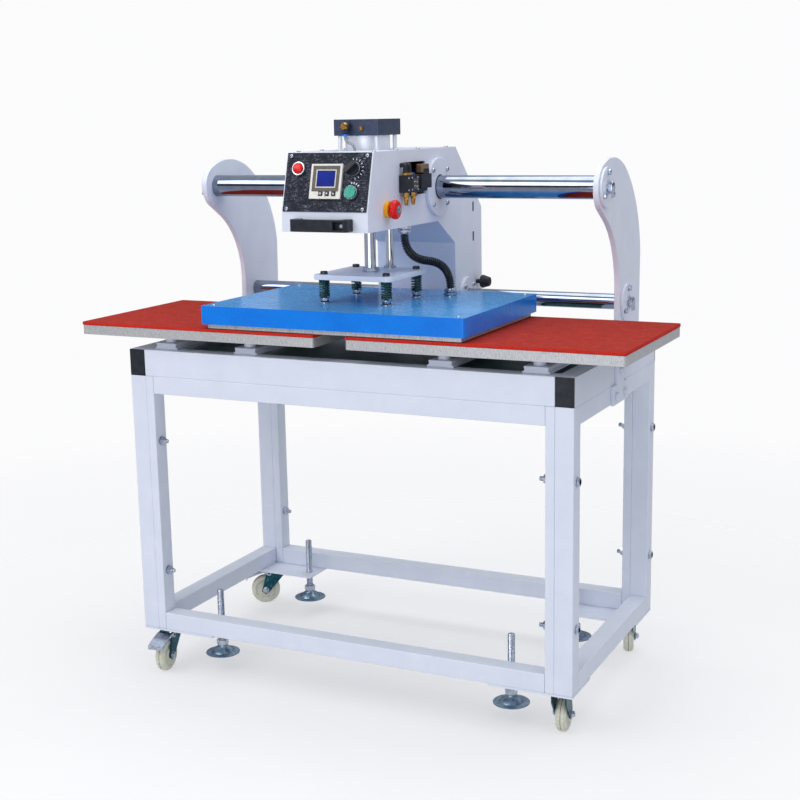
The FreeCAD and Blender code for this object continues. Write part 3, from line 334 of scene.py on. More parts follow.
def aluminium():
    """Sawn plate: upright saw marks and pits on its walls, plain on top."""
    look = Look("aluminium", tone(186, 190, 194), 0.42, 0.55)
    streaks = look.noise(1.5, 4, 0.75, (1, 1, 8))
    pits = look.noise(1.6, 4, 0.8)
    sawn = look.mix(0.5, look.ramp(streaks, (0.34, 0.03), (0.43, 0.40), (0.62, 0.74)),
                    look.ramp(pits, (0.34, 0.22), (0.52, 0.72)))
    plain = look.ramp(look.noise(20, 4), (0.3, 0.42), (0.7, 0.58))
    level = look.ramp(look.upward(), (0.35, 0.0), (0.6, 1.0))
    look.colour(look.mix(level, sawn, plain))
    look.roughness(look.ramp(pits, (0.3, 0.36), (0.7, 0.6)))
    return look.bump(streaks, 0.35, 0.8).bump(pits, 0.2, 0.6)


def silicone_red():
    """Sponge pad: dull brick red on top, brighter where its cut edge shows."""
    look = Look("silicone_red", tone(176, 48, 38), 0.8, Specular_IOR_Level=0.12)
    top = look.ramp(look.noise(26, 5, 0.65), (0.3, tone(148, 38, 28)), (0.7, tone(170, 50, 38)))
    edge = look.ramp(look.noise(3, 3), (0.3, tone(186, 30, 24)), (0.7, tone(214, 56, 42)))
    look.colour(look.mix(look.ramp(look.upward(), (0.3, 0.0), (0.7, 1.0)), edge, top))
    look.sheen(8, 3, 0.7, 0.9)
    return look.bump(look.noise(0.8, 2, 0.6), 0.10, 0.7).bump(look.cells(2.2), 0.05, 0.3)


def chrome(name, dark, light):
    """Polished chrome with fine rings round a shaft along X."""
    look = Look(name, tone(*light), 0.06, 1.0)
    rings = look.noise(1.2, 3, 0.6, (0.4, 14, 14))
    look.roughness(look.ramp(rings, (0.3, 0.04), (0.75, 0.10)))
    look.mottle(30, 3, dark, light)
    return look.bump(rings, 0.004, 0.2)


def slate():
    look = Look("slate", tone(50, 58, 74), 0.36, 0.35)
    look.mottle(8, 4, (54, 64, 86), (72, 82, 106))
    look.sheen(3, 3, 0.28, 0.45)
    return look.bump(look.noise(0.9, 3, 0.6, (6, 1, 1)), 0.03, 0.5)


def brass():
    look = Look("brass", tone(206, 158, 78), 0.24, 1.0)
    look.mottle(4, 4, (176, 122, 50), (226, 184, 108))
    return look.sheen(1.5, 3, 0.16, 0.36)


def hose_grey():
    look = Look("hose_grey", tone(150, 154, 160), 0.3, Transmission_Weight=0.15)
    look.mottle(5, 2, (136, 140, 148), (168, 172, 178))
    return look.grain(0.8, 2, 0.02, 0.4)


def black_panel():
    """Anodised control panel, scuffed with pale hairline scratches and rub marks."""
    look = Look("black_panel", tone(20, 22, 30), 0.45, Specular_IOR_Level=0.12)
    rub = look.ramp(look.noise(22, 6, 0.75), (0.36, 0.0), (0.62, 1.0))
    scratch = look.ramp(look.noise(2.6, 5, 0.8, (4, 1, 1)), (0.54, 0.0), (0.70, 1.0))
    other = look.ramp(look.noise(2.4, 5, 0.8, (1, 1, 3.5)), (0.56, 0.0), (0.74, 1.0))
    marks = look.mix(1.0, look.mix(1.0, scratch, other, "ADD"), rub, "MULTIPLY")
    ground = look.ramp(look.noise(9, 5, 0.7), (0.3, tone(14, 16, 24)), (0.75, tone(38, 43, 58)))
    look.colour(look.mix(marks, ground, tone(176, 184, 204)))
    look.sheen(5, 4, 0.28, 0.52, 0.75)
    return look.grain(0.6, 2, 0.02, 0.4)


def controller_case():
    look = Look("controller_case", tone(224, 220, 212), 0.34)
    look.mottle(10, 3, (216, 212, 204), (230, 227, 220))
    return look.grain(0.6, 2, 0.02, 0.4)


def yellow_plastic():
    look = Look("yellow_plastic", tone(250, 172, 20), 0.3)
    look.mottle(6, 3, (244, 160, 14), (253, 184, 34))
    return look.grain(0.8, 2, 0.02, 0.4)


def rubber_black():
    look = Look("rubber_black", tone(28, 28, 30), 0.62)
    look.mottle(5, 4, (22, 22, 24), (40, 40, 43))
    return look.grain(0.9, 3, 0.08, 0.6)


def blue_paint():
    """Glossy blue, paler where light falls on its top."""
    look = Look("blue_paint", tone(0, 118, 222), 0.3, Specular_IOR_Level=0.25, Coat_Weight=0.08)
    wall = look.ramp(look.noise(70, 4), (0.3, tone(0, 116, 222)), (0.7, tone(0, 130, 236)))
    top = look.ramp(look.noise(50, 4), (0.3, tone(66, 142, 206)), (0.7, tone(86, 160, 220)))
    look.colour(look.mix(look.ramp(look.upward(), (0.6, 0.0), (0.9, 1.0)), wall, top))
    look.sheen(10, 3, 0.2, 0.3)
    return look.grain(1.6, 2, 0.008, 0.3).grain(35, 2, 0.2, 0.2)


def spring_green():
    look = Look("spring_green", tone(14, 70, 62), 0.3, 0.3, Coat_Weight=0.3)
    look.mottle(5, 4, (6, 50, 46), (24, 86, 78))
    return look.sheen(2, 3, 0.2, 0.4)


def conduit_black():
    look = Look("conduit_black", tone(22, 26, 34), 0.25)
    look.mottle(9, 3, (12, 15, 21), (34, 40, 52))
    return look.sheen(4, 3, 0.14, 0.32)


def glossy(name, dark, light, rough=0.2):
    """A moulded, glossy, coloured plastic."""
    look = Look(name, tone(*light), rough, Specular_IOR_Level=0.3, Coat_Weight=0.15, Coat_Roughness=0.06)
    look.mottle(5, 3, dark, light)
    look.sheen(3, 3, rough * 0.8, rough * 1.4)
    return look.grain(0.8, 2, 0.015, 0.4)


def key_black():
    look = Look("key_black", tone(36, 36, 38), 0.45)
    look.mottle(2, 3, (28, 28, 30), (48, 48, 52))
    return look.grain(0.4, 2, 0.03, 0.5)


def fork_teal():
    look = Look("fork_teal", tone(34, 88, 98), 0.28, 0.85)
    look.colour(look.ramp(look.noise(8, 4), (0.3, tone(14, 58, 68)), (0.62, tone(44, 104, 116)),
                          (0.85, tone(120, 176, 196))))
    look.sheen(3, 3, 0.2, 0.4)
    return look.grain(1.4, 3, 0.05, 0.5)


def nylon():
    look = Look("nylon", tone(226, 220, 186), 0.32, Subsurface_Weight=0.08)
    look.mottle(7, 4, (208, 206, 184), (230, 230, 214))
    look.sheen(3, 3, 0.26, 0.42)
    return look.grain(1, 3, 0.04, 0.5)


def dark_steel():
    look = Look("dark_steel", tone(58, 62, 70), 0.32, 0.9)
    look.mottle(3, 3, (40, 43, 50), (84, 90, 100))
    return look.sheen(1, 3, 0.24, 0.44)


def satin_metal():
    """The barrel of the air cylinder and its tie rods."""
    look = Look("satin_metal", tone(238, 241, 248), 0.34, 0.25)
    look.mottle(16, 3, (232, 236, 245), (242, 244, 250))
    look.sheen(12, 3, 0.28, 0.38)
    return look.grain(1.2, 2, 0.005, 0.3)


def foot_steel():
    """The round zinc discs of the feet, darker and bluer than the other zinc."""
    look = Look("foot_steel", tone(140, 164, 182), 0.26, 1.0)
    look.mottle(8, 4, (112, 138, 158), (166, 186, 202))
    return look.sheen(3, 3, 0.26, 0.44)


def lcd():
    look = Look("lcd", tone(0, 20, 110), 0.3, Specular_IOR_Level=0.1, Emission_Color=(0.0, 0.02, 0.30, 1),
                Emission_Strength=0.05)
    look.mottle(30, 2, (0, 18, 100), (0, 34, 140))
    return look.grain(3, 2, 0.005, 0.3)


LOOKS = {look.name: look for look in (
    white_paint(), black_plastic(), green_panel(), zinc(), aluminium(), silicone_red(),
    chrome("chrome", (184, 190, 202), (204, 208, 216)),
    chrome("shaft_chrome", (134, 144, 162), (154, 162, 178)),
    slate(), brass(), hose_grey(), black_panel(), controller_case(), yellow_plastic(), rubber_black(),
    blue_paint(), spring_green(), conduit_black(), key_black(), fork_teal(), nylon(),
    glossy("red_plastic", (212, 0, 4), (236, 4, 8)),
    glossy("green_plastic", (0, 142, 122), (0, 166, 144)),
    glossy("blue_plastic", (10, 96, 200), (30, 130, 232)),
    dark_steel(), satin_metal(), lcd(), foot_steel(),
    glossy("cream", (200, 194, 180), (220, 214, 200), 0.35),
    glossy("smoke", (70, 64, 58), (92, 84, 76), 0.3),
    glossy("mark", (228, 230, 236), (244, 245, 250), 0.45),
    glossy("amber", (96, 74, 52), (136, 108, 78), 0.25),
    glossy("teal_disc", (58, 104, 112), (84, 132, 138), 0.35),
    glossy("seam_brown", (92, 46, 30), (124, 66, 40), 0.5),
    glossy("shade", (16, 17, 20), (30, 32, 38), 0.6),
)}


# ---- mesh building ----

SMOOTH_UNDER = math.radians(34)      # edges sharper than this stay crisp


def facing(spot, axis, turn=0.0):
    """Stands a piece's own Z along axis at spot."""
    upright = Vector(axis).to_track_quat("Z", "Y").to_matrix().to_4x4()
    return Matrix.Translation(spot) @ upright @ Matrix.Rotation(turn, 4, "Z")


def polar(where, reach, angle, height):
    """A point at an angle round a frame's own Z, with its reach and height in millimetres."""
    return where @ (Vector((reach * math.cos(angle), reach * math.sin(angle), height)) * MM)


def skin(bm, rings, close_ends=True):
    """Faces over a stack of rings of points."""
    rows = [[bm.verts.new(point) for point in ring] for ring in rings]
    for low, high in zip(rows, rows[1:]):
        for i in range(len(low)):
            j = (i + 1) % len(low)
            bm.faces.new((low[i], low[j], high[j], high[i]))
    if close_ends:
        bm.faces.new(rows[0][::-1])
        bm.faces.new(rows[-1])
    return rows


def hex_reach(across, angle):
    """Distance from a hexagon's middle to its side at an angle."""
    return across / 2 / math.cos((angle + math.pi / 6) % (math.pi / 3) - math.pi / 6)


def turned(bm, where, profile, segments=48):
    """A turned piece in millimetres. A profile point is (radius, height), or (across, height, "hex")."""
    rings = []
    for point in profile:
        ring = []
        for k in range(segments):
            angle = ROUND * k / segments
            reach = hex_reach(point[0], angle) if len(point) > 2 else point[0]
            ring.append(polar(where, reach, angle, point[1]))
        rings.append(ring)
    skin(bm, rings)


NUT_CROWN = 0.96                     # the round face of a nut, as a share of its width
NUT_CHAMFER = math.radians(30)


def hex_nut(bm, where, across, height, low=0.0, segments=48):
    """A hexagon with its corners chamfered by a cone at both ends, as nuts and bolt heads are."""
    crown = across / 2 * NUT_CROWN
    rings = []
    for base, way in ((low, 1), (low + height, -1)):
        cone = []
        flat = []
        for k in range(segments):
            angle = ROUND * k / segments
            reach = hex_reach(across, angle)
            drop = (reach - crown) * math.tan(NUT_CHAMFER)
            flat.append(polar(where, crown, angle, base))
            cone.append(polar(where, reach, angle, base + way * drop))
        rings += [flat, cone] if way > 0 else [cone, flat]
    skin(bm, rings)


def thread(bm, where, radius, pitch, low, high, depth=None, segments=24):
    """A screw thread: the radius rises and falls once a pitch and winds round as a helix."""
    depth = depth or pitch * 0.5
    steps = max(4, round((high - low) / pitch * 4))
    rings = []
    for step in range(steps + 1):
        height = low + (high - low) * step / steps
        ring = []
        for k in range(segments):
            phase = (height / pitch - k / segments) % 1
            reach = radius - depth * abs(2 * phase - 1)
            angle = ROUND * k / segments
            ring.append(polar(where, reach, angle, height))
        rings.append(ring)
    skin(bm, rings)


SQUARE = ((-1, -1), (1, -1), (1, 1), (-1, 1))


def block(bm, where, size, at=(0, 0, 0)):
    """A block in millimetres, its middle at "at"."""
    half = Vector(size) / 2
    rings = []
    for c in (-1, 1):
        rings.append([where @ ((Vector(at) + Vector((a * half.x, b * half.y, c * half.z))) * MM)
                      for a, b in SQUARE])
    skin(bm, rings)


def swept(bm, path, reach, segments=16):
    """A tube along points; reach(distance, share) gives its radius in millimetres."""
    path = [Vector(point) for point in path]
    travelled = [0.0]
    for a, b in zip(path, path[1:]):
        travelled.append(travelled[-1] + (b - a).length)
    side = None
    rings = []
    for i, point in enumerate(path):
        ahead = (path[min(i + 1, len(path) - 1)] - path[max(i - 1, 0)]).normalized()
        if side is None:
            side = ahead.orthogonal().normalized()
        side = (side - ahead * side.dot(ahead)).normalized()
        other = ahead.cross(side)
        radius = reach(travelled[i], travelled[i] / travelled[-1]) * MM
        ring = []
        for k in range(segments):
            angle = ROUND * k / segments
            ring.append(point + (side * math.cos(angle) + other * math.sin(angle)) * radius)
        rings.append(ring)
    skin(bm, rings)
    return travelled[-1]


def piece(name, bm, body, slot, look=None, replaces=(), bevel=0.0):
    """Turns a bmesh into a named piece that rides on a body."""
    bmesh.ops.remove_doubles(bm, verts=bm.verts, dist=1e-7)
    bmesh.ops.recalc_face_normals(bm, faces=bm.faces)
    for edge in bm.edges:
        edge.smooth = len(edge.link_faces) == 2 and edge.calc_face_angle(0) < SMOOTH_UNDER
    for face in bm.faces:
        face.smooth = True
    made = mesh_object(name, bm)
    made.data.materials.append(LOOKS[look or slot].material)
    if bevel:
        rounding(made, bevel)
    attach(made, body)
    if replaces:
        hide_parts(*replaces)
    return made


def block_piece(name, where, size, at, body, slot, look, bevel=0.0):
    """A piece that is one block."""
    bm = bmesh.new()
    block(bm, where, size, at)
    piece(name, bm, body, slot, look=look, bevel=bevel)


def rounding(obj, width, segments=2):
    """Rounds the hard edges of an object."""
    bevel = obj.modifiers.new("rounding", "BEVEL")
    bevel.width = width * MM
    bevel.segments = segments
    bevel.limit_method = "ANGLE"
    bevel.angle_limit = math.radians(32)
    bevel.harden_normals = True


def islands(node):
    """(low corner, high corner) of each separate solid in a CAD node."""
    bm = bmesh.new()
    bm.from_mesh(frame["nodes"][node].data)
    bmesh.ops.remove_doubles(bm, verts=bm.verts, dist=1e-6)
    left = set(bm.verts)
    found = []
    while left:
        waiting = [left.pop()]
        members = []
        while waiting:
            vertex = waiting.pop()
            members.append(vertex.co.copy())
            for edge in vertex.link_edges:
                other = edge.other_vert(vertex)
                if other in left:
                    left.remove(other)
                    waiting.append(other)
        low = Vector([min(p[i] for p in members) for i in range(3)])
        high = Vector([max(p[i] for p in members) for i in range(3)])
        found.append((low, high))
    bm.free()
    return sorted(found, key=lambda pair: tuple(round(v, 5) for v in (pair[0] + pair[1])))


def middle(pair):
    return (pair[0] + pair[1]) / 2


def size_mm(pair):
    return (pair[1] - pair[0]) / MM


def upright_in(pair):
    """A frame standing up from the middle of a box's underside."""
    spot = middle(pair)
    return facing((spot.x, spot.y, pair[0].z), Z)


def sideways_in(pair, way):
    """A frame lying along X, from the middle of the box's wall that comes first that way."""
    spot = middle(pair)
    return facing((pair[0].x if way > 0 else pair[1].x, spot.y, spot.z), X * way)


# ---- CAD nodes ----

ROUNDING = {"white_paint": 1.2, "aluminium": 0.8, "silicone_red": 1.6, "blue_paint": 1.4, "slate": 1.0,
            "black_plastic": 1.0, "controller_case": 0.8, "key_black": 0.5, "yellow_plastic": 0.8,
            "red_plastic": 0.8, "green_plastic": 0.6, "nylon": 1.0, "fork_teal": 0.4, "rubber_black": 0.8}
PLAIN_ROUNDING = 0.4
TUBE_CORNER = 1.6
OTHER_LOOKS = {"cylinder": "satin_metal"}      # nodes that don't look like the rest of their slot


def solids(node):
    """The closed solids of a CAD node, each as a list of faces of points, even where two solids touch."""
    mesh = frame["nodes"][node].data
    spots = [tuple(round(c, 6) for c in vertex.co) for vertex in mesh.vertices]
    faces = [[spots[i] for i in polygon.vertices] for polygon in mesh.polygons]
    users = {}
    for index, face in enumerate(faces):
        for a, b in zip(face, face[1:] + face[:1]):
            users.setdefault(frozenset((a, b)), []).append(index)
    owner = list(range(len(faces)))

    def first(index):
        while owner[index] != index:
            index = owner[index]
        return index

    for both in users.values():
        if len(both) == 2:
            owner[first(both[0])] = first(both[1])
    groups = {}
    for index, face in enumerate(faces):
        groups.setdefault(first(index), []).append(face)
    return list(groups.values())


def welded_frame(node):
    """The steel tubes of a frame with each tube's corners rolled round."""
    bm = bmesh.new()
    for faces in solids(node):
        verts = {}
        for face in faces:
            for spot in face:
                if spot not in verts:
                    verts[spot] = bm.verts.new(spot)
            bm.faces.new([verts[spot] for spot in face])
    bmesh.ops.dissolve_limit(bm, angle_limit=0.01, verts=bm.verts, edges=bm.edges)
    bmesh.ops.recalc_face_normals(bm, faces=bm.faces)
    tubes = mesh_object(node + "_tubes", bm)
    tubes.data.polygons.foreach_set("use_smooth", [True] * len(tubes.data.polygons))
    tubes.data.materials.append(LOOKS[SLOT_OF[node]].material)
    rounding(tubes, TUBE_CORNER, 3)
    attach(tubes, BODY_OF[node])
    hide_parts(node)


def dress_nodes():
    """Gives every CAD node its material and eased edges."""
    for name, obj in frame["nodes"].items():
        slot = SLOT_OF[name]
        look = LOOKS[OTHER_LOOKS.get(name, slot)].material
        data = obj.data
        data.materials.clear()
        data.materials.append(look)
        for attribute in ("custom_normal", "sharp_edge", "sharp_face"):
            if attribute in data.attributes:
                data.attributes.remove(data.attributes[attribute])
        data.polygons.foreach_set("use_smooth", [True] * len(data.polygons))
        data.polygons.foreach_set("material_index", [0] * len(data.polygons))
        weld = obj.modifiers.new("weld", "WELD")
        weld.merge_threshold = 1e-6
        flat = obj.modifiers.new("flat", "DECIMATE")
        flat.decimate_type = "DISSOLVE"
        flat.angle_limit = math.radians(0.6)
        rounding(obj, ROUNDING.get(slot, PLAIN_ROUNDING))


# ---- screws, nuts and bolts ----

def button_screw(bm, where, radius, height):
    """A domed head with a hexagonal socket."""
    dome = [(radius, 0), (radius, height * 0.25)]
    dome += [(radius * (1 - 0.45 * t * t), height * (0.25 + 0.75 * math.sin(t * math.pi / 2)))
             for t in (0.25, 0.5, 0.75, 1.0)]
    socket = [(radius * 0.92, height, "hex"), (radius * 0.9, height * 0.3, "hex")]
    turned(bm, where, dome + socket, 36)


def outward(pair, centre):
    """The direction a small fastener points: along its thin side, away from the centre."""
    size = pair[1] - pair[0]
    axis = min(range(3), key=lambda i: size[i])
    way = Vector((0, 0, 0))
    way[axis] = 1 if middle(pair)[axis] > centre[axis] else -1
    return axis, way


def head_screws():
    """Domed screws with hexagonal sockets on the head."""
    bm = bmesh.new()
    centre = middle(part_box("head_shell"))
    for pair in islands("head_screws"):
        axis, way = outward(pair, centre)
        size = pair[1] - pair[0]
        foot = middle(pair) - way * size[axis] / 2
        button_screw(bm, facing(foot, way), size[(axis + 1) % 3] / 2 / MM, size[axis] / MM)
    piece("head_button_screws", bm, "head", "zinc", replaces=["head_screws"])


FLAT_UNDER = 10                      # mm: a nut or a head is flatter than this, a bolt is longer


def frame_bolts():
    """Hexagon heads outside the legs, and washers, nuts and thread ends inside them."""
    bm = bmesh.new()
    for pair in islands("frame_bolts"):
        size = size_mm(pair)
        side = 1 if middle(pair).x > 0 else -1
        if size.z < FLAT_UNDER:             # the weld nut of a foot
            hex_nut(bm, upright_in(pair), min(size.x, size.y), size.z)
        elif size.x < FLAT_UNDER:           # a head, on the outside of the leg
            where = sideways_in(pair, side)
            turned(bm, where, [(10.5, 0), (10.5, 1.2), (9, 1.6)])
            hex_nut(bm, where, 16.5, size.x - 1.2, 1.2)
            turned(bm, where, [(6, size.x - 0.4), (5.8, size.x)])
        else:                               # a nut and the bolt's end, on the inside
            where = sideways_in(pair, -side)
            turned(bm, where, [(11.5, 0), (11.5, 1.3), (9, 1.7)])
            hex_nut(bm, where, 16.8, 7.6, 1.4)
            thread(bm, where, 5, 1.5, 8.5, size.x - 1)
            turned(bm, where, [(4.4, size.x - 1.2), (4.0, size.x)])
    piece("frame_fasteners", bm, "stand", "zinc", replaces=["frame_bolts"])


def end_bolts():
    """The big bolt and three small ones on each disc of the end plates."""
    bm = bmesh.new()
    for pair in islands("end_bolts"):
        size = size_mm(pair)
        where = sideways_in(pair, 1 if middle(pair).x > 0 else -1)
        if size.x > 9:                      # the big bolt
            turned(bm, where, [(15, 0), (15, 1.6), (14.4, 2.2)])
            hex_nut(bm, where, 22, size.x - 2.2, 2.2)
        else:
            turned(bm, where, [(6.6, 0), (6.6, 0.8)])
            hex_nut(bm, where, 10.6, size.x - 0.8, 0.8, 36)
    piece("end_fasteners", bm, "stand", "zinc", replaces=["end_bolts"])


# ---- press train ----

def spring_bolts():
    """Threaded posts with washers, nuts and black socket heads."""
    steel = bmesh.new()
    heads = bmesh.new()
    collars = bmesh.new()
    plate_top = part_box("press_plate")[1].z
    for pair in islands("spring_bolts"):
        where = upright_in(pair)
        tall = (pair[1].z - pair[0].z) / MM
        plate = (plate_top - pair[0].z) / MM
        turned(steel, where, [(12, 0), (12, 1.6), (11.4, 2.1), (9, 2.1)])
        turned(collars, where, [(9.4, 2.1), (9.4, 4.0), (8.6, 4.2)])
        hex_nut(steel, where, 16.6, 5.3, 4.2)
        turned(steel, where, [(12.4, 9.5), (12.4, 11)])
        thread(steel, where, 5, 1.25, 10.8, plate + 0.5)
        turned(heads, where, [(8, plate + 0.3), (8, tall - 0.8), (7.4, tall), (7.2, tall, "hex"),
                              (7.0, tall - 3.5, "hex")])
    piece("spring_bolt_steel", steel, "heat_platen", "zinc", replaces=["spring_bolts"])
    piece("spring_bolt_heads", heads, "heat_platen", "zinc", look="dark_steel")
    piece("spring_bolt_collars", collars, "heat_platen", "zinc", look="dark_steel")


SPRING_WIRE = 1.8                    # radius in mm
SPRING_TURNS = 8
SPRING_STEPS = 28                    # points on the path in one turn
SPRING_CLOSING = 0.055               # draws the turns together at both ends


def springs():
    """Coil springs with closed, flat ends."""
    bm = bmesh.new()
    pairs = islands("springs")
    for pair in pairs:
        spot = middle(pair)
        coil = (pair[1].x - pair[0].x) / 2 - SPRING_WIRE * MM
        low = pair[0].z + SPRING_WIRE * MM
        high = pair[1].z - SPRING_WIRE * MM
        path = []
        steps = SPRING_TURNS * SPRING_STEPS
        for step in range(steps + 1):
            share = step / steps
            eased = share - SPRING_CLOSING * math.sin(ROUND * share)
            angle = ROUND * SPRING_TURNS * share
            path.append((spot.x + coil * math.cos(angle), spot.y + coil * math.sin(angle),
                         low + (high - low) * eased))
        swept(bm, path, lambda distance, share: SPRING_WIRE * min(1, 0.35 + 14 * min(share, 1 - share)), 14)
    made = piece("coil_springs", bm, "press", "spring_green", replaces=["springs"])
    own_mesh(made)


def route(name, points):
    """Points along the smooth spline of a hose's route."""
    data = bpy.data.curves.new(name + "_route", "CURVE")
    data.dimensions = "3D"
    data.resolution_u = 40
    spline = data.splines.new("NURBS")
    spline.points.add(len(points) - 1)
    for spot, point in zip(spline.points, points):
        spot.co = (*point, 1)
    spline.order_u = 3
    spline.use_endpoint_u = True
    holder = placed(name + "_route", data)
    bpy.context.view_layer.update()
    line = bpy.data.meshes.new_from_object(holder)
    path = [vertex.co.copy() for vertex in line.vertices]
    bpy.data.objects.remove(holder)
    bpy.data.meshes.remove(line)
    return path


def even(path, gap):
    """The same line with its points a fixed distance apart."""
    found = [path[0]]
    left = gap
    for a, b in zip(path, path[1:]):
        run = (b - a).length
        done = 0.0
        while run - done >= left:
            done += left
            found.append(a.lerp(b, done / run))
            left = gap
        left -= run - done
    found.append(path[-1])
    return found


CONDUIT_PITCH = 5.0                  # mm from rib to rib
CONDUIT_RIB = 1.3                    # mm
CONDUIT_DIAMETER = 0.019


def conduit():
    """Ribbed flexible conduit that carries the heater's wires from the head down to the cover."""
    head_spot = middle(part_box("head_gland"))
    cover_spot = middle(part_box("cover_gland"))
    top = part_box("head_gland")[0].z
    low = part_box("cover_gland")[1].z
    points = [(head_spot.x, head_spot.y, top), (head_spot.x, head_spot.y, low + 72 * MM),
              (cover_spot.x, cover_spot.y, low + 56 * MM), (cover_spot.x, cover_spot.y, low)]
    path = even(route("conduit", points), CONDUIT_PITCH * MM / 6)
    radius = CONDUIT_DIAMETER / 2 / MM

    def rib(distance, share):
        wave = math.cos(ROUND * distance / (CONDUIT_PITCH * MM))
        return radius - CONDUIT_RIB + CONDUIT_RIB * max(-1.0, min(1.0, wave * 1.5))

    bm = bmesh.new()
    length = swept(bm, path, rib, 36)
    made = piece("ribbed_conduit", bm, "head", "conduit_black", replaces=["conduit"])
    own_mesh(made)


def gland(name, node, body, way):
    """A cable gland: hexagon body, hexagon nut and rounded, domed cap."""
    low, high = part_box(node)
    spot = middle((low, high))
    where = facing((spot.x, spot.y, high.z if way.z < 0 else low.z), way)
    tall = (high.z - low.z) / MM
    across = min(high.x - low.x, high.y - low.y) / MM
    bm = bmesh.new()
    turned(bm, where, [(across * 0.52, 0), (across * 0.52, 1.6), (across * 0.48, 2.0)])
    hex_nut(bm, where, across * 0.98, 7.0, 2.0)
    nut_low = 9.6
    cap_low = nut_low + tall * 0.34
    hex_nut(bm, where, across * 0.92, tall * 0.34, nut_low)
    turned(bm, where, [(11.6, cap_low - 0.3), (11.4, cap_low + (tall - cap_low) * 0.5), (10.4, tall - 0.2),
                       (9.7, tall)])
    piece(name, bm, body, "zinc", replaces=[node])


def press_rods():
    """The piston rod and guide rod in smooth chrome with the piston's two nuts."""
    bm = bmesh.new()
    nuts = bmesh.new()
    for pair in islands("press_rods"):
        size = size_mm(pair)
        where = upright_in(pair)
        if size.z < 12:                     # a nut on its own
            hex_nut(nuts, where, min(size.x, size.y), size.z)
        elif abs(middle(pair).x) < MM:      # the piston rod, in the middle
            hex_nut(nuts, where, min(size.x, size.y), 9)
            turned(bm, where, [(12.5, 0.2), (12.5, size.z - 1), (11.5, size.z)], 64)
        else:
            turned(nuts, where, [(14, 0), (14, 4.2), (13.2, 5)])
            turned(bm, where, [(9.2, 0.2), (9.2, size.z - 1), (8.2, size.z)], 64)
    piece("press_rods_chrome", bm, "press", SLOT_OF["press_rods"], look="chrome", replaces=["press_rods"])
    piece("press_rod_nuts", nuts, "press", SLOT_OF["press_rods"], look="zinc")


# ---- shafts and discs ----

SHAFT_CHAMFER = 0.6                  # mm


def shafts():
    """The chromed shafts with chamfered ends."""
    bm = bmesh.new()
    for low, high in islands("shafts"):
        radius = (high.z - low.z) / 2 / MM
        length = (high.x - low.x) / MM
        turned(bm, sideways_in((low, high), 1),
               [(radius - SHAFT_CHAMFER, 0), (radius, SHAFT_CHAMFER), (radius, length - SHAFT_CHAMFER),
                (radius - SHAFT_CHAMFER, length)], 96)
    piece("shafts_chrome", bm, "stand", "chrome", look="shaft_chrome", replaces=["shafts"])


def shaft_seals():
    """Black wiper ring where the thick shaft goes into each side of the head."""
    shaft = max(islands("shafts"), key=lambda pair: pair[1].z - pair[0].z)
    spot = middle(shaft)
    radius = (shaft[1].z - shaft[0].z) / 2 / MM
    low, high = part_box("head_bearings")
    bm = bmesh.new()
    for face, way in ((low.x, -X), (high.x, X)):
        turned(bm, facing((face, spot.y, spot.z), way),
               [(radius + 2.2, -0.5), (radius + 2.2, 0.3), (radius + 0.4, 0.8)], 64)
    piece("shaft_seals", bm, "head", "white_paint", look="rubber_black")


# ---- control panel ----

PANEL_OUT = -Vector(JOINTS["red_button_press"]["axis"]).normalized()
PANEL_UP = PANEL_OUT.cross(X)
PANEL_THICK = 2.0
PANEL_TURN = Matrix((X, PANEL_UP, PANEL_OUT)).transposed().to_4x4()


def on_panel(node, side=0.0, up=0.0, out=0.0):
    """A frame on the leaning panel, measured in mm from the middle of a CAD node."""
    spot = middle(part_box(node)) + (X * side + PANEL_UP * up + PANEL_OUT * out) * MM
    return Matrix.Translation(spot) @ PANEL_TURN


def panel_frame(bm, where, outer, inner, low, high):
    """A rectangular frame with an opening."""
    rings = []
    for (wide, tall), height in ((outer, low), (outer, high), (inner, high), (inner, low)):
        rings.append([where @ (Vector((a * wide / 2, b * tall / 2, height)) * MM)
                      for a, b in SQUARE])
    rows = skin(bm, rings, False)
    for i in range(4):
        j = (i + 1) % 4
        bm.faces.new((rows[3][i], rows[3][j], rows[0][j], rows[0][i]))


def controller_details():
    """Smoked window, cream border and blue display of the temperature controller, and its key marks."""
    window = on_panel("controller", 0, 5.5, 3)
    for name, outer, inner, low, high, look in (("window", (62, 53), (47, 38), -0.6, 0.5, "smoke"),
                                                ("border", (47, 38), (42, 33), -1.0, 0.1, "cream")):
        bm = bmesh.new()
        panel_frame(bm, window, outer, inner, low, high)
        piece("controller_" + name, bm, "head", "controller_case", look=look, bevel=0.3)
    block_piece("controller_display", window, (43, 34, 1.0), (0, 0, -0.7), "head", "controller_case",
                "lcd", 0.2)
    for name, shape in (("key_left", "square"), ("key_middle", "down"), ("key_right", "up")):
        bm = bmesh.new()
        cap = on_panel(name, 0, 0, 1.2)
        if shape == "square":
            panel_frame(bm, cap, (4.2, 3.4), (2.8, 2.0), -0.1, 0.12)
        else:
            point = 1.9 if shape == "up" else -1.9
            rings = []
            for height in (-0.1, 0.12):
                corners = ((-2.2, -point * 0.8, height), (2.2, -point * 0.8, height), (0, point, height))
                rings.append([cap @ (Vector(corner) * MM) for corner in corners])
            skin(bm, rings)
        piece(name + "_mark", bm, name, "key_black", look="mark")


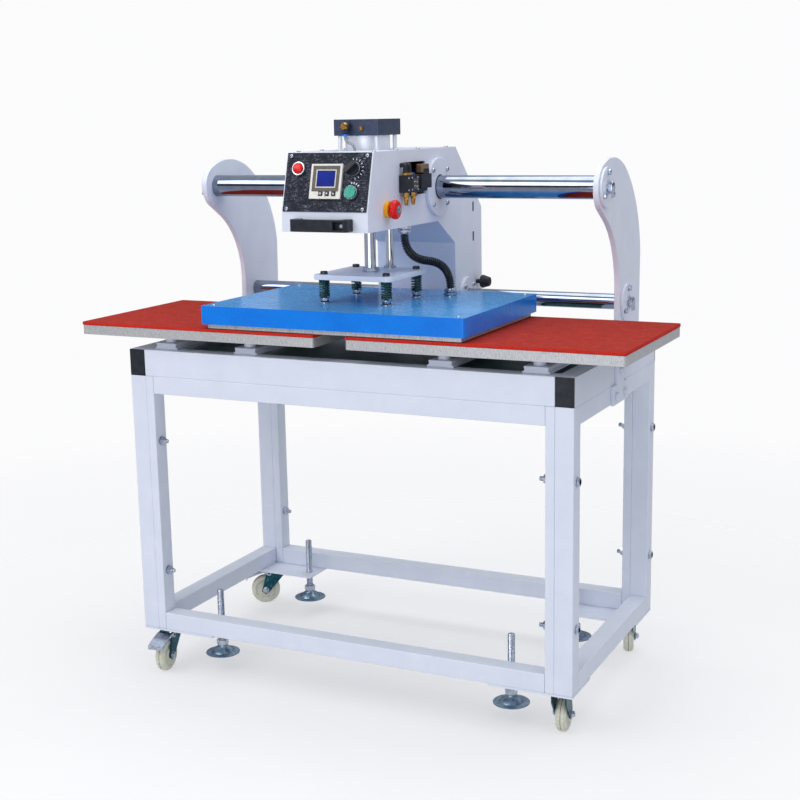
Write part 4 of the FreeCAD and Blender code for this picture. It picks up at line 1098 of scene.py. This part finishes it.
def panel_screws():
    """Four cross-head screws at the panel's corners."""
    bm = bmesh.new()
    slots = bmesh.new()
    for side, up in SQUARE:
        where = on_panel("control_panel", 88 * side, up * 55 - 0.6, 0)
        where = where @ Matrix.Translation((0, 0, PANEL_THICK * 0.5 * MM))
        turned(bm, where, [(4.3, 0), (4.3, 0.5), (3.8, 1.5), (2.6, 2.3), (0.8, 2.6)], 32)
        # painted shade: dark crosses on the domes stand for the shade in the cross recesses
        for turn in (0.6, 0.6 + math.pi / 2):
            block(slots, where @ Matrix.Rotation(turn, 4, "Z"), (4.4, 0.9, 0.6), (0, 0, 2.5))
    piece("panel_screw_heads", bm, "head", "zinc")
    piece("panel_screw_slot_shade", slots, "head", "zinc", look="shade")


def bezel_foot(node, tall):
    """The spot on the panel under the CAD ring that stands round a button."""
    button = middle(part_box(node))
    ring = min((middle(pair) for pair in islands("button_bezels")), key=lambda spot: (spot - button).length)
    return Matrix.Translation(ring - PANEL_OUT * tall / 2 * MM) @ PANEL_TURN


BUTTON_TALL = 7                      # mm, how far the rings of the buttons stand out
SELECTOR_TALL = 5
BEZELS = (("red_button", BUTTON_TALL, 11.4), ("green_button", BUTTON_TALL, 13.3),
          ("selector_knob", SELECTOR_TALL, 11.4))                 # node, height, inner radius
KNURL_TEETH = 36
KNURL_DEPTH = 0.3


def bezels():
    """Bright knurled rings round the two buttons and the selector, each on a thin black seal."""
    bm = bmesh.new()
    dark = bmesh.new()
    steps = KNURL_TEETH * 4
    for node, tall, inner in BEZELS:
        where = bezel_foot(node, tall)
        turned(dark, where, [(15.2, 0), (15.2, 1.0), (14.0, 1.2), (inner, 1.2)], 64)
        rings = []
        for reach, height, knurl in ((14.4, 1.2, 0), (14.5, 1.6, 1), (14.5, tall - 1.6, 1),
                                     (14.2, tall - 1.2, 0), (13.9, tall, 0), (inner + 0.3, tall, 0),
                                     (inner, tall - 0.5, 0), (inner, 2.0, 0)):
            ring = []
            for k in range(steps):
                bite = KNURL_DEPTH * knurl * (1 if k % 4 < 2 else -1)
                ring.append(polar(where, reach + bite, ROUND * k / steps, height))
            rings.append(ring)
        skin(bm, rings, False)
    piece("button_bezel_rings", bm, "head", "zinc", replaces=["button_bezels"])
    piece("button_bezel_seals", dark, "head", "zinc", look="rubber_black")


def panel_marks():
    """Plain dial ticks round the selector and the lower button."""
    bm = bmesh.new()
    for node, tall, first, gap, count, size in (
            ("selector_knob", SELECTOR_TALL, 100, 22, 9, (4.2, 1.2, 0.2)),
            ("green_button", BUTTON_TALL, 95, 16, 4, (4.0, 2.2, 0.2))):
        dial = bezel_foot(node, tall)
        for step in range(count):
            angle = math.radians(first - gap * step)
            block(bm, dial @ Matrix.Rotation(angle, 4, "Z"), size, (20.5, 0, 0.1))
    piece("panel_ticks", bm, "head", "black_panel", look="mark")


def selector_mark():
    """The white line on the selector's grip, which stands 45 degrees to the right at rest."""
    where = Matrix.Translation(Vector(JOINTS["selector_turn"]["pos_m"])) @ PANEL_TURN
    where = where @ Matrix.Rotation(-math.radians(45), 4, "Z")
    block_piece("selector_pointer", where, (1.4, 11, 0.4), (0, 7, 21.6), "selector_knob", "black_plastic",
                "mark", 0.1)


# ---- emergency stop, handle, valve, cylinder ----

def estop_details():
    """The disc on the emergency stop's face and its three turning marks."""
    low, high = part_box("estop_button")
    spot = middle((low, high))
    where = facing((high.x, spot.y, spot.z), X)
    bm = bmesh.new()
    turned(bm, where, [(8.4, -0.9), (8.4, 0.2), (7.8, 0.6)], 48)
    piece("estop_disc", bm, "estop_button", "red_plastic", look="teal_disc")
    bm = bmesh.new()
    for k in range(3):
        block(bm, where @ Matrix.Rotation(ROUND * k / 3, 4, "Z"), (1.1, 5.2, 0.3), (5.0, 0, 0.6))
    piece("estop_marks", bm, "estop_button", "red_plastic", look="mark")


POCKET_DEEP = 10                     # mm from the handle's front to the dark sheet painted as the shade deep in its pocket
POCKET_IN = 19.5                     # mm from the handle's right end to the middle of the pocket
POCKET_SCREW_IN = 14


def handle_screw():
    """The cap screw in the pocket near the right end of the bridge handle."""
    low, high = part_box("handle")
    floor = low.y + POCKET_DEEP * MM
    spot = Vector((high.x - POCKET_SCREW_IN * MM, floor, (low.z + high.z) / 2))
    pocket = Matrix.Translation((high.x - POCKET_IN * MM, floor, spot.z))
    # painted shade: a dark sheet deep in the pocket
    block_piece("handle_pocket_shade", pocket, (22.6, 0.6, 16.6), (0, 0, 0), "head", "black_plastic", "shade")
    bm = bmesh.new()
    turned(bm, facing(spot, -Y), [(4.4, 0.1), (4.4, 3.4), (3.9, 4.0), (3.2, 4.0, "hex"),
                                  (3.1, 1.6, "hex")], 36)
    piece("handle_screw_head", bm, "head", "zinc")


def valve_elbow(bm, pair):
    """An elbow that rises from the valve and goes in through the window."""
    spot = middle(pair)
    foot = Vector((spot.x, spot.y, pair[0].z))
    inner = Vector((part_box("head_shell")[1].x - 22 * MM, spot.y, pair[0].z + 15 * MM))
    high = Vector((spot.x, spot.y, pair[0].z + 16 * MM))
    path = route("elbow", [foot, foot.lerp(high, 0.6), high, inner.lerp(high, 0.6), inner])
    swept(bm, path, lambda distance, share: 4.9, 20)
    turned(bm, upright_in(pair), [(5.9, 0), (5.9, 3), (5.2, 3.6)], 32)


def cap_elbow(brass_work, black, blue, pair):
    """The elbow on the cylinder's cap: black body, brass end and a blue collar underneath."""
    spot = middle(pair)
    deep = size_mm(pair).y
    face = Vector((spot.x, pair[1].y, pair[1].z - 8 * MM))
    stem = facing(face, -Y)
    turned(black, stem, [(7.4, 0), (8.0, 1), (8.0, deep * 0.55), (7.2, deep * 0.6)], 36)
    turned(brass_work, stem, [(6.4, deep * 0.58), (7.8, deep * 0.64), (7.8, deep * 0.86), (6.6, deep),
                              (3.2, deep, "hex"), (3.0, deep - 3, "hex")], 36)
    root = Vector((spot.x, face.y - deep * 0.32 * MM, face.z))
    bend = Vector((spot.x, pair[0].y + 8 * MM, pair[0].z + 4 * MM))
    swept(black, [root, root.lerp(bend, 0.5), bend], lambda distance, share: 6.0, 24)
    collar = facing((bend.x, bend.y, pair[0].z + 4.4 * MM), -Z)
    turned(blue, collar, [(5.6, 0), (7.0, 0.6), (7.0, 3.4), (6.0, 4.4)], 32)


VALVE_SIDE = 80 * MM                 # fittings further right than this are on the valve


def air_fittings():
    """Brass collars, mufflers and black elbows on the valve, and the elbow and plug on the cylinder."""
    brass_work = bmesh.new()
    black = bmesh.new()
    blue = bmesh.new()
    for pair in islands("air_fittings"):
        spot = middle(pair)
        size = size_mm(pair)
        where = upright_in(pair)
        on_valve = spot.x > VALVE_SIDE
        if on_valve and spot.z < middle(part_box("valve")).z:         # a muffler under the valve
            hex_nut(brass_work, where, 13.4, 9.5, size.z - 9.5, 36)
            turned(brass_work, where, [(3.0, 0), (3.8, 1.0), (5.4, size.z - 14), (5.9, size.z - 13),
                                       (4.6, size.z - 9.4)], 32)
        elif on_valve and size.z < 8:                               # a collar
            hex_nut(brass_work, where, 12.6, size.z, 0, 36)
        elif on_valve:
            valve_elbow(black, pair)
        elif size.y > 10:
            cap_elbow(brass_work, black, blue, pair)
        else:                                                       # a plug screw
            plug = facing((spot.x, pair[1].y, spot.z), -Y)
            turned(brass_work, plug, [(4.5, 0), (4.5, size.y - 1), (3.9, size.y), (3.4, size.y, "hex"),
                                      (3.2, size.y - 2.4, "hex")], 36)
    piece("brass_fittings", brass_work, "head", "brass", replaces=["air_fittings"])
    piece("black_elbows", black, "head", "brass", look="black_plastic")
    piece("elbow_collar", blue, "head", "brass", look="blue_plastic")


AIR_TUBE_DIAMETER = 0.006


def air_tube():
    """Thin tube from the elbow on the cylinder down into the head's top."""
    low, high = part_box("air_tube")
    radius = AIR_TUBE_DIAMETER / 2
    left, right = low.x + radius, high.x - radius
    front, back = low.y + radius, high.y - radius
    points = [(left, back, high.z), (left, back, high.z - 12 * MM), (right, front, high.z - 17 * MM),
              (right, front, low.z)]
    path = route("air_tube", points)
    bm = bmesh.new()
    length = swept(bm, path, lambda distance, share: radius / MM, 20)
    made = piece("air_tube_grey", bm, "head", "hose_grey", replaces=["air_tube"])


def slot_shade_sheets():
    """Dark sheets just inside the two long slots in the head's right wall, painted shade for the dim inside of the
    head.
    """
    mount = next(mount for mount in RECORD["mounts"] if mount["name"] == "head_side_slots")
    where = Matrix.Translation(Vector(mount["pos_m"]))
    dims = mount["dims"]
    bm = bmesh.new()
    for side in (-1, 1):
        block(bm, where, (1.0, 2 * dims["hole_r_mm"], dims["slot_length_mm"]),
              (-1.2, 0, side * dims["spacing_y_mm"] / 2))
    piece("slot_shade_sheets", bm, "head", "black_plastic", look="shade")


WELL_IN = 33.2                       # mm from the head's wall in to the dark sheet behind the window, painted shade for the inside of the head


def valve_details():
    """Coil cap, label plate and screws of the valve, and a dark sheet behind it that paints the shade inside the
    head.
    """
    low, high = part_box("valve")
    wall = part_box("head_shell")[1].x
    well = Vector((wall - WELL_IN * MM, (low.y + high.y) / 2 + 12 * MM, (low.z + high.z) / 2 + 6 * MM))
    # painted shade: a dark sheet stands for the dim inside of the head seen through the window
    block_piece("window_shade_sheet", Matrix.Translation(well), (2.0, 118, 80), (0, 0, 0), "head", "black_plastic",
                "shade")
    face = high.x
    coil = Matrix.Translation((face, high.y - 26 * MM, high.z - 5 * MM))
    block_piece("coil_cap", coil, (12, 40, 18), (-9, 0, 6), "head", "black_plastic", "amber", 1.2)
    label = Matrix.Translation((face, low.y + 40 * MM, low.z + 17 * MM))
    block_piece("valve_label", label, (0.5, 24, 22), (-2.9, 0, 0), "head", "black_plastic", "smoke", 0.2)
    bm = bmesh.new()
    for dy, dz in ((-8, 5), (-2, 5), (5, 4), (-6, -4), (3, -5), (8, -5)):
        block(bm, label, (0.4, 3.2, 1.6), (-2.5, dy, dz))
    piece("valve_label_marks", bm, "head", "black_plastic", look="mark")
    bm = bmesh.new()
    for y in (low.y + 5 * MM, low.y + 22 * MM, low.y + 50 * MM):
        for z in (low.z + 5 * MM, low.z + 30 * MM):
            button_screw(bm, facing((face - 3 * MM, y, z), X), 2.0, 1.4)
    piece("valve_screws", bm, "head", "zinc")


# ---- heat cover ----

COVER_SCREW_INSET = 21               # mm in from the cover's edges


def cover_screws():
    """Small domed screws in the cover's top near its corners."""
    low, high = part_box("heat_cover")
    inset = COVER_SCREW_INSET * MM
    bm = bmesh.new()
    for x in (low.x + inset, high.x - inset):
        for y in (low.y + inset, high.y - inset):
            turned(bm, facing((x, y, high.z), Z), [(4.0, -0.1), (4.0, 0.5), (3.2, 1.6), (1.9, 2.1),
                                                           (1.5, 2.1, "hex"), (1.4, 1.0, "hex")], 28)
    piece("cover_screw_heads", bm, "heat_platen", "zinc")


# ---- castors and feet ----

CORNERS = ("front_left", "front_right", "rear_left", "rear_right")


AXLE_NUT_OUT = 16.5                  # mm from the middle of a wheel to its axle nuts
SEAM_SEGMENTS = 96


def axle(corner):
    """The middle of a castor's wheel and the way its axle points."""
    return middle(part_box("wheel_" + corner)), Vector(JOINTS["wheel_roll_" + corner]["axis"]).normalized()


def wheel_details(corner):
    """The moulding seam round the tread and the dark bearing ring in each side of the hub."""
    spot, axis = axle(corner)
    low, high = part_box("wheel_" + corner)
    inner, outer = (high.z - low.z) / 2 / MM - 0.4, (high.z - low.z) / 2 / MM + 0.12
    bm = bmesh.new()
    rings = []
    for reach, height in ((inner, -0.7), (outer, -0.5), (outer, 0.5), (inner, 0.7)):
        rings.append([polar(facing(spot, axis), reach, ROUND * k / SEAM_SEGMENTS, height)
                      for k in range(SEAM_SEGMENTS)])
    skin(bm, rings, False)
    piece("wheel_seam_" + corner, bm, "wheel_" + corner, "nylon", look="seam_brown")
    bm = bmesh.new()
    for side in (-1, 1):
        turned(bm, facing(spot, axis * side), [(9.6, 11), (9.6, 12.3), (8.8, 12.8), (6.0, 12.8),
                                               (5.4, 12.2)])
    piece("wheel_hub_" + corner, bm, "wheel_" + corner, "nylon", look="dark_steel")


def fork_details(corner):
    """Bright swivel race and domed axle nuts."""
    spot, axis = axle(corner)
    pivot = Vector(JOINTS["castor_turn_" + corner]["pos_m"])
    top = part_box("fork_" + corner)[1].z
    bm = bmesh.new()
    race = facing((pivot.x, pivot.y, top), -Z)
    turned(bm, race, [(20.5, 0.2), (22.3, 1.0), (22.6, 3.0), (21.0, 4.0), (22.4, 5.0), (22.4, 6.4),
                      (20.5, 7.2)], 56)
    for side in (-1, 1):
        where = facing(spot + axis * side * AXLE_NUT_OUT * MM, axis * side)
        turned(bm, where, [(8.2, 0), (8.2, 1.0), (7.6, 1.3)], 36)
        hex_nut(bm, where, 12.6, 5.0, 1.2, 36)
        turned(bm, where, [(4.9, 5.8), (4.6, 6.4), (3.4, 7.4), (1.6, 7.9)], 24)
    piece("castor_hardware_" + corner, bm, "fork_" + corner, "fork_teal", look="zinc")


def foot_details(corner):
    """A levelling foot's domed disc, its nut and its threaded screw, in place of the plain CAD foot."""
    low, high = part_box("foot_" + corner)
    where = upright_in((low, high))
    reach = (high.x - low.x) / 2 / MM
    tall = (high.z - low.z) / MM
    disc = bmesh.new()
    turned(disc, where, [(reach - 1.2, 0), (reach, 0.6), (reach - 0.2, 1.6), (30, 3.2), (27.5, 3.6),
                         (25.5, 6.4), (21.5, 10.4), (16, 13.6), (13, 15.8), (12.2, 18), (12, 20)], 72)
    piece("foot_disc_" + corner, disc, "foot_" + corner, "zinc", look="foot_steel",
          replaces=["foot_" + corner])
    bm = bmesh.new()
    hex_nut(bm, where, 23.6, 12.6, 20)
    thread(bm, where, 8.05, 2.0, 32, tall - 1.2, 1.1, 32)
    turned(bm, where, [(7.2, tall - 1.6), (6.2, tall)], 32)
    piece("foot_screw_" + corner, bm, "foot_" + corner, "zinc")


# ---- build ----

bpy.context.scene.view_settings.view_transform = "Standard"
make_camera()
make_world()
make_floor(floor_paint().material)
soft_light("key", (-1.6, -2.6, 3.2), (0, 0, 0.8), (2.6, 2.0), 52, (1.0, 0.99, 0.98))
soft_light("side", (3.0, -0.6, 2.4), (0, 0, 0.8), (2.0, 2.0), 14, (0.86, 0.93, 1.0))
soft_light("fill", (0.5, -3.4, 0.9), (0, 0, 0.9), (2.4, 1.2), 24, (0.90, 0.95, 1.0))
soft_light("top", (0.2, 0.4, 3.6), (0, 0, 0.6), (3.0, 2.4), 48)

dress_nodes()
for frame_node in ("upper_frame", "side_frames", "cross_frames"):
    welded_frame(frame_node)
shafts()
shaft_seals()
conduit()
air_tube()
head_screws()
frame_bolts()
end_bolts()
spring_bolts()
springs()
press_rods()
gland("head_gland_nickel", "head_gland", "head", -Z)
gland("cover_gland_nickel", "cover_gland", "heat_platen", Z)
controller_details()
panel_screws()
bezels()
panel_marks()
selector_mark()
estop_details()
handle_screw()
air_fittings()
valve_details()
slot_shade_sheets()
cover_screws()
for place in CORNERS:
    wheel_details(place)
    fork_details(place)
    foot_details(place)
